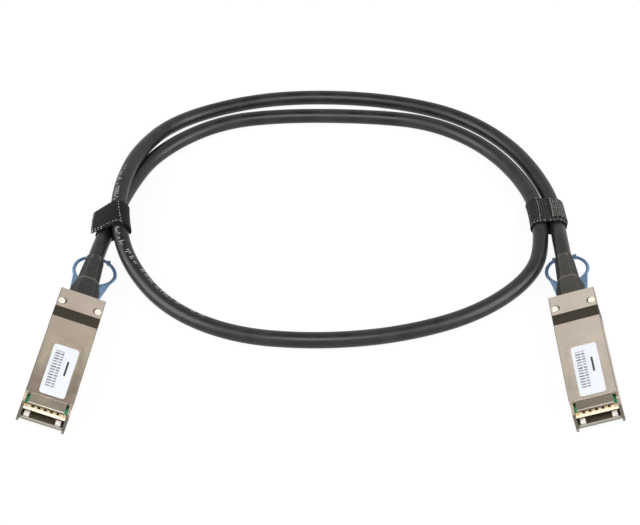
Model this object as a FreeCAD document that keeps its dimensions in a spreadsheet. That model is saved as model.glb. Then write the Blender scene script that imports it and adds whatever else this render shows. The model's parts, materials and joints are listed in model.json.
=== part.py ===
import FreeCAD, Part
import math
import os
import re
import Sketcher
from FreeCAD import Placement, Rotation, Vector

# Passive direct attach copper cable: two quad small form factor plugs, one round
# copper cable, a pull tab and latch slide on each plug, and two hook and loop straps.
#
# Each plug is built in its own frame: X across the plug, Y from the nose to the cable,
# Z from the underside to the labelled face, origin in the middle of the shell's rear
# face. The plug's Placement then stands it on the table, where it leans on one edge.

SIZES = {
    # shell
    "shellWidth": 18.35,
    "shellHeight": 8.5,
    "shellLength": 59.7,
    "shellEdge": 0.4,
    "partingHeight": 1.0,
    "sideWall": 1.1,
    "floorWall": 1.05,
    "topWall": 1.1,
    "rearBlock": 12.0,
    "prongReach": 1.3,
    "prongWidth": 1.0,
    "wallSlope": 2.2,
    "jambDrop": 0.4,
    "noseBay": 11.0,
    "cutBeyond": 5.0,
    # cover at the nose
    "noseStep": 6.4,
    "notchWidth": 2.275,
    "tongueReach": 3.2,
    "tongueDrop": 2.0,
    "tongueSheet": 0.9,
    "creaseLead": 0.4,
    # label
    "labelWidth": 9.9,
    "labelLength": 24.1,
    "labelShift": 0.35,
    "labelInset": 1.5,
    "labelSheet": 0.1,
    "labelCorner": 1.2,
    "recessDepth": 0.15,
    "recessMargin": 0.65,
    "recessSide": 1.5,
    # gasket
    "gasketStart": 9.6,
    "gasketWidth": 5.2,
    "gasketDepth": 0.5,
    "gasketProud": 0.05,
    "gasketGap": 0.05,
    "gasketCorner": 0.8,
    # rivets
    "rivetDiameter": 2.5,
    "rivetInset": 2.0,
    "rivetStart": 6.4,
    "rivetHole": 3.1,
    "rivetHoleInset": 2.26,
    "rivetDepth": 1.8,
    "rivetFit": 0.03,
    "rivetSink": 0.05,
    "rivetChamfer": 0.45,
    # board
    "boardThickness": 1.0,
    "boardStart": 22.0,
    "boardRecess": 1.8,
    "boardGap": 0.1,
    "boardBevel": 0.4,
    "boardTip": 0.5,
    "ledgeWidth": 1.2,
    "padPitch": 0.8,
    "padWidth": 0.54,
    "padSheet": 0.05,
    "padBack": 8.9,
    "groundLead": 0.5,
    "signalLead": 0.9,
    "postInset": 2.075,
    "postWidth": 2.0,
    "postDepth": 1.9,
    "postReach": 1.0,
    "postDrop": 1.9,
    "chipPlace": 6.0,
    "chipLength": 4.0,
    "chipWidth": 5.0,
    "chipHeight": 0.9,
    "padChipPlace": 8.0,
    "padChipLength": 1.0,
    "padChipWidth": 1.6,
    "padChipShift": 5.0,
    # latch slide and its springs
    "latchTravel": 2.4,
    "latchSheet": 0.5,
    "latchGap": 0.05,
    "latchDepth": 0.6,
    "latchPlateStart": 0.5,
    "latchRoomEnd": 0.4,
    "armReach": 36.0,
    "armHeight": 2.2,
    "armTop": 1.1,
    "armInset": 0.6,
    "armHook": 0.5,
    "hookLead": 2.6,
    "hookBack": 0.4,
    "channelGap": 0.05,
    "channelEnd": 0.9,
    "channelSide": 0.1,
    "tailReach": 4.5,
    "tailLap": 1.0,
    "tailHalf": 3.5,
    "springDiameter": 1.6,
    "springWire": 0.25,
    "springInset": 1.375,
    "springStop": 1.2,
    "springGap": 0.15,
    "springRest": 0.02,
    "springTurns": 6.5,
    "springSlack": 3.075,
    "springSeat": 1.5,
    # pull tab
    "tabStart": 0.6,
    "tabSheet": 0.9,
    "tabHalf": 5.2,
    "ringPlace": 17.5,
    "ringRadius": 8.05,
    "ringSection": 1.1,
    "ringBevel": 0.32,
    "ringLow": 0.1,
    "webRise": 1.3,
    "nubPlace": 4.4,
    "nubWidth": 1.2,
    "nubReach": 1.1,
    # boot
    "bootHalf": 5.65,
    "bootHeight": 7.2,
    "bootBevel": 2.6,
    "bootBase": 1.5,
    "bootWaist": 9.8,
    "bootWaistHalf": 4.35,
    "bootWaistBevel": 2.1,
    "bootShoulder": 20.3,
    "bootShoulderHalf": 3.85,
    "bootLength": 22.5,
    "bootEndHalf": 3.45,
    "bootEndHeight": 6.9,
    "bootEndBevel": 1.9,
    "bootSocket": 4.05,
    "bootGap": 0.1,
    "neckStep": 0.8,
    "neckHeight": 5.6,
    "neckLength": 3.0,
    "flangeWall": 0.35,
    "flangeHeight": 6.0,
    "flangeLength": 2.9,
    # cable
    "cableDiameter": 6.5,
    "cableLift": 0.65,
    "socketFit": 0.05,
    "ferruleDiameter": 4.7,
    "ferruleWall": 0.4,
    "ferruleLength": 4.0,
    "conduitHalf": 4.0,
    "conduitHeight": 5.0,
    "conduitLap": 0.5,
    "wireDiameter": 1.0,
    "wirePitch": 0.8,
    "wireRow": 0.65,
    "wireSeat": 0.4,
    "wireSide": 1.175,
    "wireRise": 0.2,
    "wireLap": 2.0,
    # straps
    "strapThickness": 1.2,
    "strapFit": 0.2,
    "leftStrapWidth": 11.6,
    "leftStrapStart": 55.0,
    "rightStrapWidth": 13.6,
    "rightStrapStart": 62.63,
    "flapReachFront": 12.5,
    "flapReachBack": 10.4,
    "flapDropFront": 1.3,
    "flapDropBack": 2.3,
    "flapSink": 0.1,
    # how the two plugs lie
    "leanAngle": 20.0,
    "leftTurn": -7.0,
    "rightTurn": 1.8,
    "leftAcross": -94.84,
    "leftAlong": 17.35,
    "rightAcross": 100.28,
    "rightAlong": 18.25,
}

NEAR = 1e-6

doc = FreeCAD.newDocument("DirectAttachCable")
sheet = doc.addObject("Spreadsheet::Sheet", "Sizes")
for row, (name, value) in enumerate(SIZES.items(), 1):
    sheet.set("A%d" % row, name)
    sheet.set("B%d" % row, str(value))
    sheet.setAlias("B%d" % row, name)
doc.recompute()


def size(name):
    return float(sheet.get(name))


def cells(text):
    """A formula over plain size names, as an expression that reads the sheet."""
    def cell(word):
        return "Sizes." + word.group() if word.group() in SIZES else word.group()
    return re.sub(r"[A-Za-z]\w*", cell, text)


# formulas that several pieces share, each written once
HALF_WIDTH = "(shellWidth / 2)"
HALF_HEIGHT = "(shellHeight / 2)"
NOSE = "(shellLength + prongReach)"
BEYOND = f"({NOSE} + cutBeyond)"
INNER_HALF = f"({HALF_WIDTH} - sideWall)"
FLOOR = f"({HALF_HEIGHT} - floorWall)"
LEDGE_HALF = f"({INNER_HALF} - ledgeWidth)"
STRIP_END = "(shellLength - noseStep)"
BOARD_HALF = f"({INNER_HALF} - boardGap)"
BOARD_FRONT = "(shellLength - boardRecess)"
PAIRS = f"floor((2 * {BOARD_HALF} - padWidth) / (3 * padPitch))"
TONGUE_HALF = f"({HALF_WIDTH} - notchWidth)"
RIVET_PLACE = f"({HALF_WIDTH} - rivetInset)"
RIVET_HOLE_PLACE = f"({HALF_WIDTH} - rivetHoleInset)"
POST_PLACE = f"({INNER_HALF} - postInset)"
ARM_OUTER = f"({HALF_WIDTH} - armInset)"
ARM_INNER = f"({ARM_OUTER} - latchSheet)"
PLATE_LOW = f"({HALF_HEIGHT} - latchGap)"
SPRING_LENGTH = "(latchTravel + springTurns * springWire + springSlack)"
SPRING_PLACE = f"({ARM_INNER} - springInset)"
SPRING_INNER = f"({SPRING_PLACE} - springDiameter / 2 - springGap)"
SPRING_OUTER = f"({SPRING_PLACE} + springDiameter / 2 + springGap)"
SPRING_DEPTH = f"({HALF_HEIGHT} - latchDepth)"
PLATE_END = f"(springStop + {SPRING_LENGTH} + latchSheet)"
LATCH_ROOM = f"({PLATE_END} + latchRoomEnd)"
FLANGE_HALF = f"({SPRING_INNER} - flangeWall)"
NECK_HALF = f"({FLANGE_HALF} - neckStep)"
FLANGE_END = "(neckLength + flangeLength)"
LABEL_LEFT = "(labelWidth / 2 - labelShift)"
LABEL_RIGHT = "(labelWidth / 2 + labelShift)"
LABEL_END = f"({STRIP_END} - labelInset)"
LABEL_START = f"({LABEL_END} - labelLength)"
RING_HEIGHT = f"(ringSection / 2 - {HALF_HEIGHT} - ringLow)"
WEB_HALF = "sqrt(ringRadius * ringRadius - webRise * webRise)"


# ---- small helpers over sketches and features -------------------------------------

def newBody(side, piece):
    body = doc.addObject("PartDesign::Body", side + "_" + piece)
    body.Label = side + "_" + piece
    body.AllowCompound = True
    return body


def plane(body, role):
    return [item for item in body.Origin.OriginFeatures if item.Role == role][0]


def box(low, high, front, back):
    return [(low, front), (high, front), (high, back), (low, back)]


def newSketch(body, role, away, loops=(), circles=()):
    """Closed outlines of straight lines, and circles, on one of the body's planes."""
    sketch = body.newObject("Sketcher::SketchObject", body.Name + "_sketch")
    sketch.AttachmentSupport = [(plane(body, role), "")]
    sketch.MapMode = "FlatFace"
    sketch.setExpression(".AttachmentOffset.Base.z", cells(away))
    line = 0
    for corners in loops:
        count = len(corners)
        spots = [Vector(math.cos(math.tau * k / count), math.sin(math.tau * k / count), 0)
                 for k in range(count)]
        for k in range(count):
            sketch.addGeometry(Part.LineSegment(spots[k], spots[(k + 1) % count]))
        for k, (across, up) in enumerate(corners):
            following = line + (k + 1) % count
            sketch.addConstraint(Sketcher.Constraint("Coincident", line + k, 2, following, 1))
            for kind, spot, text in (("DistanceX", spots[k].x, across), ("DistanceY", spots[k].y, up)):
                rule = sketch.addConstraint(Sketcher.Constraint(kind, -1, 1, line + k, 1, spot))
                sketch.setExpression("Constraints[%d]" % rule, cells(text))
        line += count
    for across, up, radius in circles:
        sketch.addGeometry(Part.Circle(Vector(1, 1, 0), Vector(0, 0, 1), 1))
        for kind, text in (("DistanceX", across), ("DistanceY", up)):
            rule = sketch.addConstraint(Sketcher.Constraint(kind, -1, 1, line, 3, 1.0))
            sketch.setExpression("Constraints[%d]" % rule, cells(text))
        rule = sketch.addConstraint(Sketcher.Constraint("Radius", line, 1.0))
        sketch.setExpression("Constraints[%d]" % rule, cells(radius))
        line += 1
    return sketch


def feature(body, kind, sketch, length, reverse=False, symmetric=False):
    made = body.newObject("PartDesign::" + kind, body.Name + "_" + kind)
    made.Profile = sketch
    made.setExpression("Length", cells(length))
    made.Reversed = reverse
    if symmetric:
        made.SideType = "Symmetric"
    return made


def pad(body, sketch, length, **options):
    return feature(body, "Pad", sketch, length, **options)


def pocket(body, sketch, length, **options):
    doc.recompute()
    before = body.Shape.Volume
    made = feature(body, "Pocket", sketch, length, **options)
    doc.recompute()
    if body.Shape.Volume > before - NEAR:
        raise ValueError(body.Name + ": a pocket cut nothing")
    return made


def dress(body, kind, amount, chosen, amountName):
    """Fillet or chamfer of the edges that the test picks from the body as it stands."""
    doc.recompute()
    tip = body.Tip
    box = tip.Shape.BoundBox
    names = ["Edge%d" % (k + 1) for k, edge in enumerate(tip.Shape.Edges) if chosen(edge, box)]
    made = body.newObject("PartDesign::" + kind, body.Name + "_" + kind)
    made.Base = (tip, names)
    made.setExpression(amountName, cells(amount))
    return made


def fillet(body, radius, chosen):
    return dress(body, "Fillet", radius, chosen, "Radius")


def upright(edge, box):
    return edge.BoundBox.ZLength > 0.9 * box.ZLength and edge.BoundBox.XLength < NEAR


def along(edge, box):
    return edge.BoundBox.YLength > 0.9 * box.YLength


def lowEdge(edge, box):
    return along(edge, box) and edge.BoundBox.ZMax < box.ZMin + NEAR


def highEdge(edge, box):
    return along(edge, box) and edge.BoundBox.ZMin > box.ZMax - NEAR


# ---- cuts that both halves of the shell share --------------------------------------

def cutGasketGroove(body):
    outer = box("-shellWidth", "shellWidth", "-shellHeight", "shellHeight")
    inner = box("gasketDepth - " + HALF_WIDTH, HALF_WIDTH + " - gasketDepth",
                "gasketDepth - " + HALF_HEIGHT, HALF_HEIGHT + " - gasketDepth")
    pocket(body, newSketch(body, "XZ_Plane", "gasketStart", [outer, inner]), "gasketWidth", reverse=True)


def cutBootSeat(body):
    """Neck, flange groove and conduit for the boot, ferrule and wires."""
    seats = (
        (NECK_HALF, "neckHeight", "0", "neckLength"),
        (FLANGE_HALF, "flangeHeight", "neckLength", "flangeLength + bootGap"),
        ("conduitHalf", "conduitHeight", FLANGE_END, "rearBlock - " + FLANGE_END + " + conduitLap"),
    )
    for half, height, start, length in seats:
        opening = box("-%s - bootGap" % half, "%s + bootGap" % half,
                      "cableLift - %s / 2 - bootGap" % height, "cableLift + %s / 2 + bootGap" % height)
        pocket(body, newSketch(body, "XZ_Plane", start, [opening]), length, reverse=True)


# ---- pieces of one plug -------------------------------------------------------------

def makeBaseShell(side):
    body = newBody(side, "base_shell")
    block = box("-" + HALF_WIDTH, HALF_WIDTH, "-" + HALF_HEIGHT, "partingHeight")
    pad(body, newSketch(body, "XZ_Plane", "0", [block]), NOSE)
    fillet(body, "shellEdge", lowEdge)
    # two prongs are what is left of the floor in front of the lip
    gap = box("prongWidth - " + HALF_WIDTH, HALF_WIDTH + " - prongWidth", "-shellLength", "-" + BEYOND)
    pocket(body, newSketch(body, "XY_Plane", "shellHeight", [gap]), "3 * shellHeight")
    jamb = "wallSlope - shellLength"
    slope = [(jamb, "shellHeight"), (jamb, "partingHeight - jambDrop"), ("-shellLength", "-" + FLOOR),
             ("-" + BEYOND, "-" + FLOOR), ("-" + BEYOND, "shellHeight")]
    pocket(body, newSketch(body, "YZ_Plane", "0", [slope]), "2 * shellWidth", symmetric=True)
    # cavity for the board, the bay below it and the open nose
    upper = box("-" + INNER_HALF, INNER_HALF, "-rearBlock", "-" + BEYOND)
    pocket(body, newSketch(body, "XY_Plane", "partingHeight", [upper]), "partingHeight + boardThickness / 2")
    lower = box("-" + LEDGE_HALF, LEDGE_HALF, "-rearBlock", "-" + BEYOND)
    pocket(body, newSketch(body, "XY_Plane", "partingHeight", [lower]), "partingHeight + " + FLOOR)
    bay = box("-" + INNER_HALF, INNER_HALF, "noseBay - shellLength", "-" + BEYOND)
    pocket(body, newSketch(body, "XY_Plane", "partingHeight", [bay]), "partingHeight + " + FLOOR)
    posts = [box(sign + POST_PLACE + " - postWidth / 2", sign + POST_PLACE + " + postWidth / 2",
                 "-%s - postReach" % BOARD_FRONT, "postDepth - %s - postReach" % BOARD_FRONT)
             for sign in ("", "-")]
    pad(body, newSketch(body, "XY_Plane", "-" + FLOOR, posts), FLOOR + " - postDrop")
    cutGasketGroove(body)
    # latch: side channels, room for the plate under the rear, and two spring pockets
    wall = ARM_INNER + " - channelGap"
    for low, high in (("-shellWidth", "-(%s)" % wall), (wall, "shellWidth")):
        channel = box(low, high, "-armTop - armHeight - channelSide", "channelSide - armTop")
        pocket(body, newSketch(body, "XZ_Plane", "0", [channel]), "armReach + channelEnd", reverse=True)
        wrap = box(low, high, "-shellHeight", "channelSide - armTop")
        pocket(body, newSketch(body, "XZ_Plane", "0", [wrap]), LATCH_ROOM, reverse=True)
    under = box("-shellWidth", "shellWidth", "-shellHeight", "-" + SPRING_DEPTH)
    pocket(body, newSketch(body, "XZ_Plane", "0", [under]), LATCH_ROOM, reverse=True)
    pockets = [box(sign + SPRING_INNER, sign + SPRING_OUTER, "-springStop", "-" + LATCH_ROOM)
               for sign in ("", "-")]
    pocket(body, newSketch(body, "XY_Plane", "-" + SPRING_DEPTH, pockets),
           "springDiameter + springGap", reverse=True)
    cutBootSeat(body)
    holes = [(sign + RIVET_PLACE, "-rivetStart", "rivetDiameter / 2 + rivetFit") for sign in ("", "-")]
    pocket(body, newSketch(body, "XY_Plane", "partingHeight", circles=holes), "rivetDepth")
    return body


def makeCoverShell(side):
    body = newBody(side, "cover_shell")
    block = box("-" + HALF_WIDTH, HALF_WIDTH, "partingHeight", HALF_HEIGHT)
    pad(body, newSketch(body, "XZ_Plane", "0", [block]), STRIP_END + " + tongueReach")
    fillet(body, "shellEdge", highEdge)
    # the top bends down towards the nose between two notches
    top = HALF_HEIGHT
    tip = "-%s - tongueReach" % STRIP_END
    bent = [("-" + STRIP_END, top), (tip, top + " - tongueDrop"), ("-" + BEYOND, top + " - tongueDrop"),
            ("-" + BEYOND, "shellHeight"), ("-" + STRIP_END, "shellHeight")]
    pocket(body, newSketch(body, "YZ_Plane", "0", [bent]), "2 * shellWidth", symmetric=True)
    notches = [box(sign + TONGUE_HALF, sign + "shellWidth", "-" + STRIP_END, "-" + BEYOND)
               for sign in ("", "-")]
    pocket(body, newSketch(body, "XY_Plane", "shellHeight", notches), "3 * shellHeight")
    under = top + " - topWall"
    inside = [("-rearBlock", "-partingHeight"), ("-rearBlock", under), ("creaseLead - " + STRIP_END, under),
              (tip, top + " - tongueDrop - tongueSheet"),
              ("-" + BEYOND, top + " - tongueDrop - tongueSheet"), ("-" + BEYOND, "-partingHeight")]
    pocket(body, newSketch(body, "YZ_Plane", "0", [inside]), "2 * " + INNER_HALF, symmetric=True)
    recess = box("-%s - recessSide" % LABEL_LEFT, LABEL_RIGHT + " + recessMargin",
                 "recessMargin - " + LABEL_START, "-%s - recessMargin" % LABEL_END)
    pocket(body, newSketch(body, "XY_Plane", top, [recess]), "recessDepth")
    cutGasketGroove(body)
    cutBootSeat(body)
    holes = [(sign + RIVET_HOLE_PLACE, "-rivetStart", "rivetHole / 2") for sign in ("", "-")]
    pocket(body, newSketch(body, "XY_Plane", "shellHeight", circles=holes), "2 * shellHeight")
    return body


def makeGasket(side):
    body = newBody(side, "emi_gasket")
    outer = box("-%s - gasketProud" % HALF_WIDTH, HALF_WIDTH + " + gasketProud",
                "-%s - gasketProud" % HALF_HEIGHT, HALF_HEIGHT + " + gasketProud")
    inner = box("gasketDepth - " + HALF_WIDTH, HALF_WIDTH + " - gasketDepth",
                "gasketDepth - " + HALF_HEIGHT, HALF_HEIGHT + " - gasketDepth")
    ring = newSketch(body, "XZ_Plane", "gasketStart + gasketGap", [outer, inner])
    pad(body, ring, "gasketWidth - 2 * gasketGap")

    def corner(edge, box):
        middle = edge.CenterOfMass
        return along(edge, box) and abs(middle.x) > box.XMax - NEAR and abs(middle.z) > box.ZMax - NEAR
    fillet(body, "gasketCorner", corner)
    return body


def makeRivets(side):
    body = newBody(side, "rivets")
    pins = [(sign + RIVET_PLACE, "-rivetStart", "rivetDiameter / 2") for sign in ("", "-")]
    pad(body, newSketch(body, "XY_Plane", "partingHeight - rivetDepth", circles=pins),
        HALF_HEIGHT + " - partingHeight + rivetDepth - rivetSink")
    dress(body, "Chamfer", "rivetChamfer", lambda edge, box: edge.BoundBox.ZMin > box.ZMax - NEAR, "Size")
    return body


def makeBoard(side):
    body = newBody(side, "circuit_board")
    thick = "boardThickness / 2"
    bevelled = [("-boardStart", "-" + thick), ("boardBevel - " + BOARD_FRONT, "-" + thick),
                ("-" + BOARD_FRONT, "-boardTip / 2"), ("-" + BOARD_FRONT, "boardTip / 2"),
                ("boardBevel - " + BOARD_FRONT, thick), ("-boardStart", thick)]
    pad(body, newSketch(body, "YZ_Plane", "0", [bevelled]), "2 * " + BOARD_HALF, symmetric=True)
    return body


def makeContacts(side):
    """Gold pads on both faces of the board: pairs of signal pads between longer ground pads."""
    body = newBody(side, "edge_contacts")
    span = PAIRS + " * 3 * padPitch"
    back = "padBack - " + BOARD_FRONT
    rows = (("0", "groundLead", PAIRS + " + 1"), ("padPitch", "signalLead", PAIRS),
            ("2 * padPitch", "signalLead", PAIRS))
    tips = []
    for shift, lead, count in rows:
        first = "%s - %s / 2" % (shift, span)
        front = "%s - %s" % (lead, BOARD_FRONT)
        outline = [box(first + " - padWidth / 2", first + " + padWidth / 2", front, back)]
        top = pad(body, newSketch(body, "XY_Plane", "boardThickness / 2", outline), "padSheet")
        low = pad(body, newSketch(body, "XY_Plane", "-boardThickness / 2", outline), "padSheet", reverse=True)
        tips.append(([top, low], count))
    for pads, count in tips:
        doc.recompute()
        row = body.newObject("PartDesign::LinearPattern", body.Name + "_row")
        row.Originals = pads
        row.Direction = (plane(body, "X_Axis"), [""])
        row.setExpression("Length", cells("(%s - 1) * 3 * padPitch" % count))
        row.setExpression("Occurrences", cells(count))
        body.Tip = row
    return body


def makeChips(side):
    body = newBody(side, "board_chips")
    behind = "-boardStart - chipPlace"
    chips = [box("-chipWidth / 2", "chipWidth / 2", behind + " - chipLength", behind)]
    for sign in ("", "-"):
        chips.append(box(sign + "padChipShift - padChipWidth / 2", sign + "padChipShift + padChipWidth / 2",
                         "-boardStart - padChipPlace - padChipLength", "-boardStart - padChipPlace"))
    pad(body, newSketch(body, "XY_Plane", "boardThickness / 2", chips), "chipHeight")
    return body


def makeLabel(side):
    body = newBody(side, "label")
    outline = box("-" + LABEL_LEFT, LABEL_RIGHT, "-" + LABEL_START, "-" + LABEL_END)
    pad(body, newSketch(body, "XY_Plane", HALF_HEIGHT + " - recessDepth", [outline]), "labelSheet")
    fillet(body, "labelCorner", upright)
    return body


def makeLatchSlide(side):
    """Bent sheet: a plate under the shell, an arm in each side and a seat for each spring."""
    body = newBody(side, "latch_slide")
    plate = box("-" + ARM_OUTER, ARM_OUTER, "-latchPlateStart", "-" + PLATE_END)
    pad(body, newSketch(body, "XY_Plane", "-" + PLATE_LOW, [plate]), "latchSheet")
    tail = box("-tailHalf", "tailHalf", "tailReach", "-latchPlateStart - tailLap")
    pad(body, newSketch(body, "XY_Plane", "-" + PLATE_LOW, [tail]), "latchSheet")
    for sign in ("", "-"):
        wrap = box(sign + ARM_INNER, sign + ARM_OUTER, "-latchPlateStart", "-" + PLATE_END)
        pad(body, newSketch(body, "XY_Plane", "-" + PLATE_LOW, [wrap]), PLATE_LOW + " - armTop")
        arm = [(sign + ARM_INNER, "-latchPlateStart"), (sign + ARM_INNER, "-armReach"),
               (sign + ARM_OUTER, "-armReach"), (sign + "(%s + armHook)" % ARM_OUTER, "hookLead - armReach"),
               (sign + ARM_OUTER, "hookLead + hookBack - armReach"), (sign + ARM_OUTER, "-latchPlateStart")]
        pad(body, newSketch(body, "XY_Plane", "-armTop - armHeight", [arm]), "armHeight")
        seat = box(sign + "(%s - springDiameter / 2)" % SPRING_PLACE,
                   sign + "(%s + springDiameter / 2)" % SPRING_PLACE, "latchSheet - " + PLATE_END, "-" + PLATE_END)
        pad(body, newSketch(body, "XY_Plane", "-" + PLATE_LOW, [seat]), "latchSheet + springSeat")
    return body


def makePullTab(side):
    """Soft moulding below the boot: a bevelled finger ring on a plate with two webs."""
    body = newBody(side, "pull_tab")
    plate = [("-tabHalf", "tabStart"), ("tabHalf", "tabStart"),
             (WEB_HALF, "ringPlace - webRise"), ("-" + WEB_HALF, "ringPlace - webRise")]
    pad(body, newSketch(body, "XY_Plane", RING_HEIGHT + " - tabSheet / 2", [plate]), "tabSheet")
    hole = [("0", "ringPlace", "ringRadius - ringSection / 4")]
    pocket(body, newSketch(body, "XY_Plane", "0", circles=hole), "shellHeight")
    nubs = [box(sign + "nubPlace - nubWidth / 2", sign + "nubPlace + nubWidth / 2",
                "ringPlace + ringRadius - ringSection - nubReach", "ringPlace + ringRadius + nubReach")
            for sign in ("", "-")]
    pad(body, newSketch(body, "XY_Plane", RING_HEIGHT + " - tabSheet / 2", nubs), "tabSheet")
    inner, outer = "ringRadius - ringSection / 2", "ringRadius + ringSection / 2"
    low, high = RING_HEIGHT + " - ringSection / 2", RING_HEIGHT + " + ringSection / 2"
    section = [(inner, low + " + ringBevel"), (inner + " + ringBevel", low), (outer + " - ringBevel", low),
               (outer, low + " + ringBevel"), (outer, high + " - ringBevel"), (outer + " - ringBevel", high),
               (inner + " + ringBevel", high), (inner, high + " - ringBevel")]
    profile = newSketch(body, "XZ_Plane", "-ringPlace", [section])
    ring = body.newObject("PartDesign::Revolution", body.Name + "_ring")
    ring.Profile = profile
    ring.ReferenceAxis = (profile, ["V_Axis"])
    ring.Angle = 360
    slot = box("-tailHalf", "tailHalf", "-" + PLATE_LOW, "latchSheet - " + PLATE_LOW)
    pocket(body, newSketch(body, "XZ_Plane", "-tailReach", [slot]), "tailReach", reverse=True)
    return body


def makeBoot(side):
    """Moulded relief: tapers to a crease at its waist, then runs on to a shoulder and a bevelled end."""
    body = newBody(side, "cable_boot")

    def section(half, height, bevel):
        top, low = "cableLift + %s / 2" % height, "cableLift - %s / 2" % height
        inner = "%s - %s" % (half, bevel)
        return [("-" + half, "%s + %s" % (low, bevel)), ("-(%s)" % inner, low), (inner, low),
                (half, "%s + %s" % (low, bevel)), (half, "%s - %s" % (top, bevel)), (inner, top),
                ("-(%s)" % inner, top), ("-" + half, "%s - %s" % (top, bevel))]
    stations = (("0", "bootHalf", "bootHeight", "bootBevel"),
                ("bootBase", "bootHalf", "bootHeight", "bootBevel"),
                ("bootWaist", "bootWaistHalf", "bootHeight", "bootWaistBevel"),
                ("bootShoulder", "bootShoulderHalf", "bootHeight", "bootWaistBevel"),
                ("bootLength", "bootEndHalf", "bootEndHeight", "bootEndBevel"))
    sketches = [newSketch(body, "XZ_Plane", "-" + place, [section(*shape)]) for place, *shape in stations]
    loft = body.newObject("PartDesign::AdditiveLoft", body.Name + "_loft")
    loft.Profile = sketches[0]
    loft.Sections = sketches[1:]
    loft.Ruled = True
    for half, height, start, length in ((NECK_HALF, "neckHeight", "0", "neckLength"),
                                        (FLANGE_HALF, "flangeHeight", "neckLength", "flangeLength")):
        block = box("-" + half, half, "cableLift - %s / 2" % height, "cableLift + %s / 2" % height)
        pad(body, newSketch(body, "XZ_Plane", start, [block]), length)
    socket = [("0", "cableLift", "cableDiameter / 2 + socketFit")]
    pocket(body, newSketch(body, "XZ_Plane", "-bootLength", circles=socket), "bootSocket", reverse=True)
    return body


def makeFerrule(side):
    body = newBody(side, "crimp_ferrule")
    rings = [("0", "cableLift", radius) for radius in ("ferruleDiameter / 2", "ferruleDiameter / 2 - ferruleWall")]
    pad(body, newSketch(body, "XZ_Plane", FLANGE_END, circles=rings), "ferruleLength")
    return body


def makeWirePairs(side):
    """The cable's core inside the ferrule, and eight wires that fan out to both faces of the board."""
    core = size("ferruleDiameter") / 2 - size("ferruleWall") - size("socketFit")
    start = size("neckLength") + size("flangeLength")
    lead = size("ferruleLength") + size("wireSeat")
    lift = size("cableLift")
    radius = size("wireDiameter") / 2
    ledgeHalf = size("shellWidth") / 2 - size("sideWall") - size("ledgeWidth")
    spread = (ledgeHalf - size("wireSide")) / 1.5
    shape = Part.makeCylinder(core, lead, Vector(0, -start, lift), Vector(0, -1, 0))
    lapEnd = -size("boardStart") - size("wireLap")
    landing = size("boardThickness") / 2 + radius + size("wireRise")
    for row in (-1, 1):
        for column in (-1.5, -0.5, 0.5, 1.5):
            inner = Vector(column * size("wirePitch"), size("wireSeat") - start - lead,
                           lift + row * size("wireRow"))
            outer = Vector(column * spread, lapEnd, row * landing)
            shape = shape.fuse(Part.makeCylinder(radius, (outer - inner).Length, inner, outer - inner))
    made = doc.addObject("Part::Feature", side + "_wire_pairs")
    made.Label = side + "_wire_pairs"
    made.Shape = shape.removeSplitter()
    return made


def makeSprings(side):
    """Two coil springs of square turns, ruled from section to section."""
    radius = (size("springDiameter") - size("springWire")) / 2
    wire = size("springWire") / 2
    length = size("latchTravel") + size("springTurns") * size("springWire") + size("springSlack")
    back = -size("springStop") - wire
    front = -size("springStop") - length + wire
    across = size("shellWidth") / 2 - size("armInset") - size("latchSheet") - size("springInset")
    height = -size("shellHeight") / 2 + size("latchDepth") + size("springDiameter") / 2 + size("springRest")
    steps = int(size("springTurns") * 6)
    coils = []
    for sign in (-1, 1):
        sections = []
        for k in range(steps + 1):
            turn = Rotation(Vector(0, 1, 0), 60.0 * k)
            centre = Vector(sign * across, front + (back - front) * k / steps, height)
            corners = [centre + turn.multVec(Vector(radius + a * wire, b * wire, 0))
                       for a, b in ((-1, -1), (1, -1), (1, 1), (-1, 1))]
            sections.append(Part.makePolygon(corners + corners[:1]))
        coils.append(Part.makeLoft(sections, True, True))
    made = doc.addObject("Part::Feature", side + "_return_springs")
    made.Label = side + "_return_springs"
    made.Shape = Part.makeCompound(coils)
    return made


# ---- cable -------------------------------------------------------------------------

# The cable's route from the left boot to the right boot, each point chosen by hand.
ROUTE = [
    (-92.36, 35.69, 7.63), (-90.84, 48.09, 7.63), (-88.81, 60.53, 5.0), (-84.21, 84.43, 4.4),
    (-73.51, 111.53, 3.3), (-47.91, 132.43, 3.25), (-18.31, 138.13, 3.25), (24.09, 137.43, 3.25),
    (52.29, 132.43, 3.25), (76.19, 114.43, 3.3), (91.19, 84.63, 4.75), (92.99, 57.93, 4.75),
    (87.59, 35.53, 3.4), (63.79, 14.23, 3.25), (31.69, 2.53, 3.25), (-2.11, -1.07, 3.25),
    (-35.21, 2.43, 3.25), (-62.41, 17.63, 3.3), (-79.41, 40.53, 6.6), (-84.91, 62.43, 11.4),
    (-84.81, 80.93, 12.2), (-80.11, 105.63, 9.9), (-66.11, 133.53, 3.8), (-34.01, 148.43, 3.25),
    (-0.71, 152.23, 3.25), (35.79, 148.33, 3.25), (65.39, 137.03, 3.25), (86.99, 114.63, 3.4),
    (98.39, 84.43, 4.75), (99.69, 61.93, 4.85), (99.08, 49.23, 7.63), (99.48, 36.73, 7.63),
]


def routePath(points):
    """Straight runs joined by tangent arcs, each as large as its two runs allow."""
    edges, radii = [], []
    start = points[0]
    for before, corner, after in zip(points, points[1:], points[2:]):
        toBefore, toAfter = before - corner, after - corner
        trim = 0.45 * min(toBefore.Length, toAfter.Length)
        turn = math.pi - toBefore.getAngle(toAfter)
        radius = trim / math.tan(turn / 2)
        toBefore.normalize()
        toAfter.normalize()
        first, last = corner + toBefore * trim, corner + toAfter * trim
        inward = (toBefore + toAfter).normalize()
        middle = corner + inward * (math.hypot(radius, trim) - radius)
        edges += [Part.LineSegment(start, first).toShape(), Part.Arc(first, middle, last).toShape()]
        radii.append(radius)
        start = last
    edges.append(Part.LineSegment(start, points[-1]).toShape())
    return Part.Wire(edges), radii


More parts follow.
